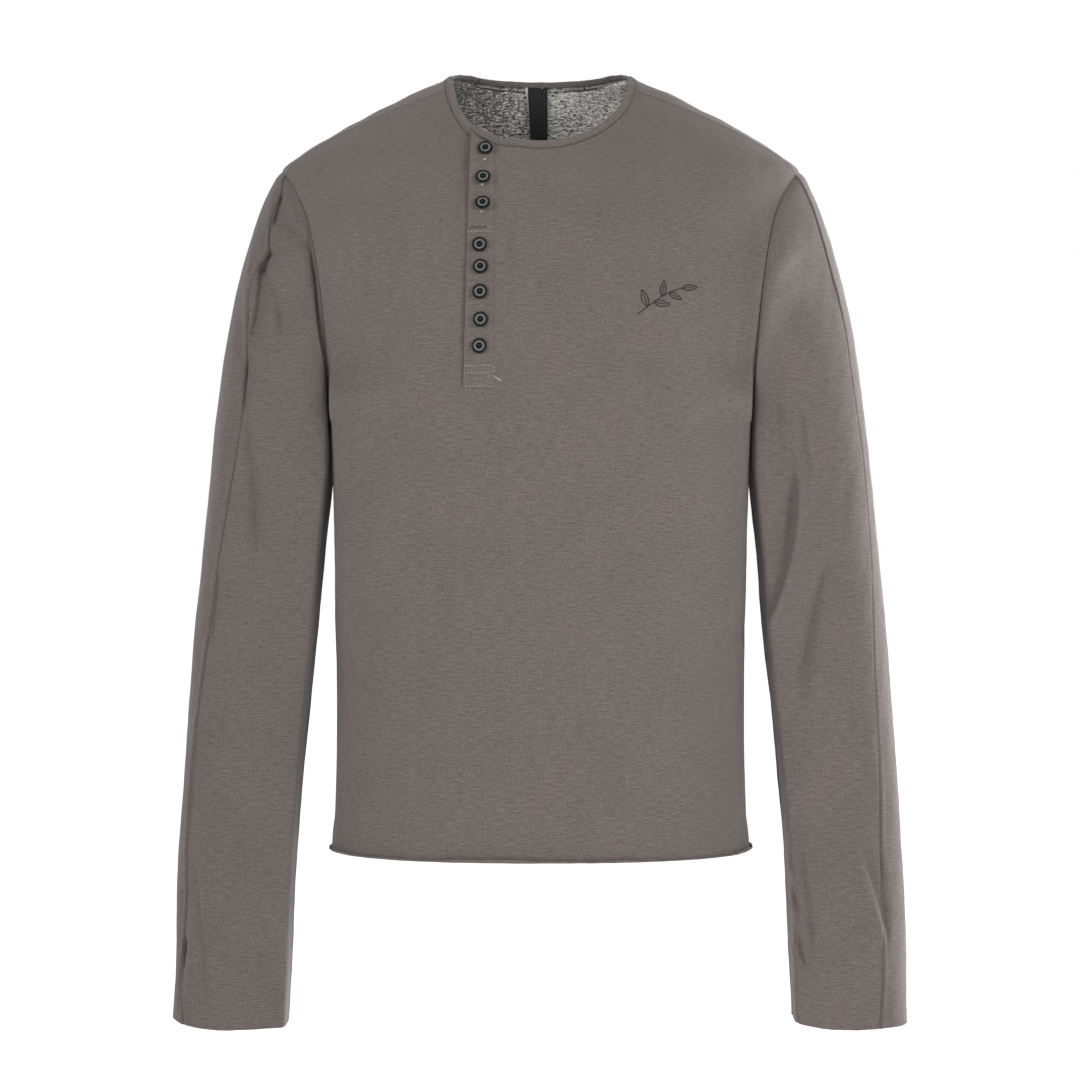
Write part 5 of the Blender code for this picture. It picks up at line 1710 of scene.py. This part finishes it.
motif_rows = [stitch_row(*motif_route(stem(np.linspace(0, 1, 60))[0]), pitch=1.5, gap=0.15)]
for share, length, width, turn in zip(*LEAVES.values()):
    start, angle = stem(np.array(share))
    aim = angle + np.radians(turn)
    t = np.linspace(0, 1, 30)
    for edge in (-1, 1):
        side = edge * width / 2 * np.sin(np.pi * t**0.8)
        flat = start + np.stack([length * t * np.cos(aim) - side * np.sin(aim),
                                 length * t * np.sin(aim) + side * np.cos(aim)], axis=-1)
        motif_rows.append(stitch_row(*motif_route(flat), pitch=1.5, gap=0.15))
    vein = start + (0.72 * length * t)[:, None] * np.array([np.cos(aim), np.sin(aim)])
    motif_rows.append(stitch_row(*motif_route(vein), pitch=1.5, gap=0.35))
thread_mesh("chest_sprig", motif_rows, BLACK_THREAD, thread=1.15, arch=0.25)

# ======================================================================================================
# Studio: a plain pale floor well below the shirt, a white surround, a softbox at each side in front with a
# low fill between them, a rim light behind each shoulder and one beside the left sleeve. The camera looks
# straight at the front.

FLOOR_Z = -1.35  # here and below in metres
SURROUND_LIGHT = 0.3, 0.98  # of the white surround in front of the shirt and behind it
bpy.ops.mesh.primitive_circle_add(vertices=64, radius=40, fill_type="NGON", location=(0, 0, FLOOR_Z))
floor = bpy.context.object
floor.name = "floor"
pale, tree, shader = new_material("pale_floor", 0.9)
grain = noise(tree, add(tree, "ShaderNodeTexCoord").outputs["Object"], 3.0)
tree.links.new(mixed(tree, grain, (0.9, 0.9, 0.9, 1), (0.92, 0.92, 0.92, 1)), shader.inputs["Base Color"])
seen = add(tree, "ShaderNodeLightPath").outputs["Is Camera Ray"]
shader.inputs["Emission Color"].default_value = (1, 1, 1, 1)
tree.links.new(math(tree, "MULTIPLY", seen, 0.6), shader.inputs["Emission Strength"])
floor.data.materials.append(pale)

world = bpy.data.worlds.new("white_surround")
world.use_nodes = True
tree = world.node_tree
surround = tree.nodes["Background"]
surround.inputs["Color"].default_value = (1, 1, 1, 1)
direction = add(tree, "ShaderNodeTexCoord").outputs["Generated"]
behind = add(tree, "ShaderNodeSeparateXYZ", {0: direction}).outputs["Y"]
light = ranged(tree, behind, -0.15, 0.5, *SURROUND_LIGHT)
seen = add(tree, "ShaderNodeLightPath").outputs["Is Camera Ray"]
shown = math(tree, "MAXIMUM", light, seen)
tree.links.new(shown, surround.inputs["Strength"])
bpy.context.scene.world = world
bpy.context.scene.view_settings.view_transform = "Standard"


def soft_light(name, location, target, size, power):
    """A round soft light that is aimed at a target."""
    data = bpy.data.lights.new(name, "AREA")
    data.shape, data.size, data.energy = "DISK", size, power
    light = bpy.data.objects.new(name, data)
    bpy.context.scene.collection.objects.link(light)
    light.location = location
    light.rotation_euler = (Vector(location) - Vector(target)).to_track_quat("Z", "Y").to_euler()
    light.visible_camera = False


soft_light("softbox_left", (1.9, -1.7, 0.5), (0, 0, -0.4), size=1.1, power=32)
soft_light("softbox_right", (-1.9, -1.7, 0.5), (0, 0, -0.4), size=1.1, power=28)
soft_light("front_fill", (0, -2.5, 0.1), (0, 0, -0.4), size=0.8, power=6)
soft_light("rim_left", (1.4, 1.6, 0.2), (0.2, 0, -0.4), size=0.8, power=22)
soft_light("side_left", (1.9, 0.75, -0.2), (0.2, 0, -0.45), size=0.7, power=42)
soft_light("rim_right", (-1.4, 1.6, 0.2), (-0.2, 0, -0.4), size=0.8, power=8)

CAMERA_DISTANCE, CAMERA_X, CAMERA_Z = 2.3, -0.000435, -0.4045
FRAME_WIDTH = 0.9396  # what the picture takes in at the shirt's middle
lens = bpy.data.cameras.new("camera")
lens.sensor_width = 36.0
lens.lens = lens.sensor_width * CAMERA_DISTANCE / FRAME_WIDTH
lens.clip_end = 100
camera = bpy.data.objects.new("camera", lens)
bpy.context.scene.collection.objects.link(camera)
camera.location = (CAMERA_X, -CAMERA_DISTANCE, CAMERA_Z)
camera.rotation_euler = (np.pi / 2, 0, 0)
bpy.context.scene.camera = camera
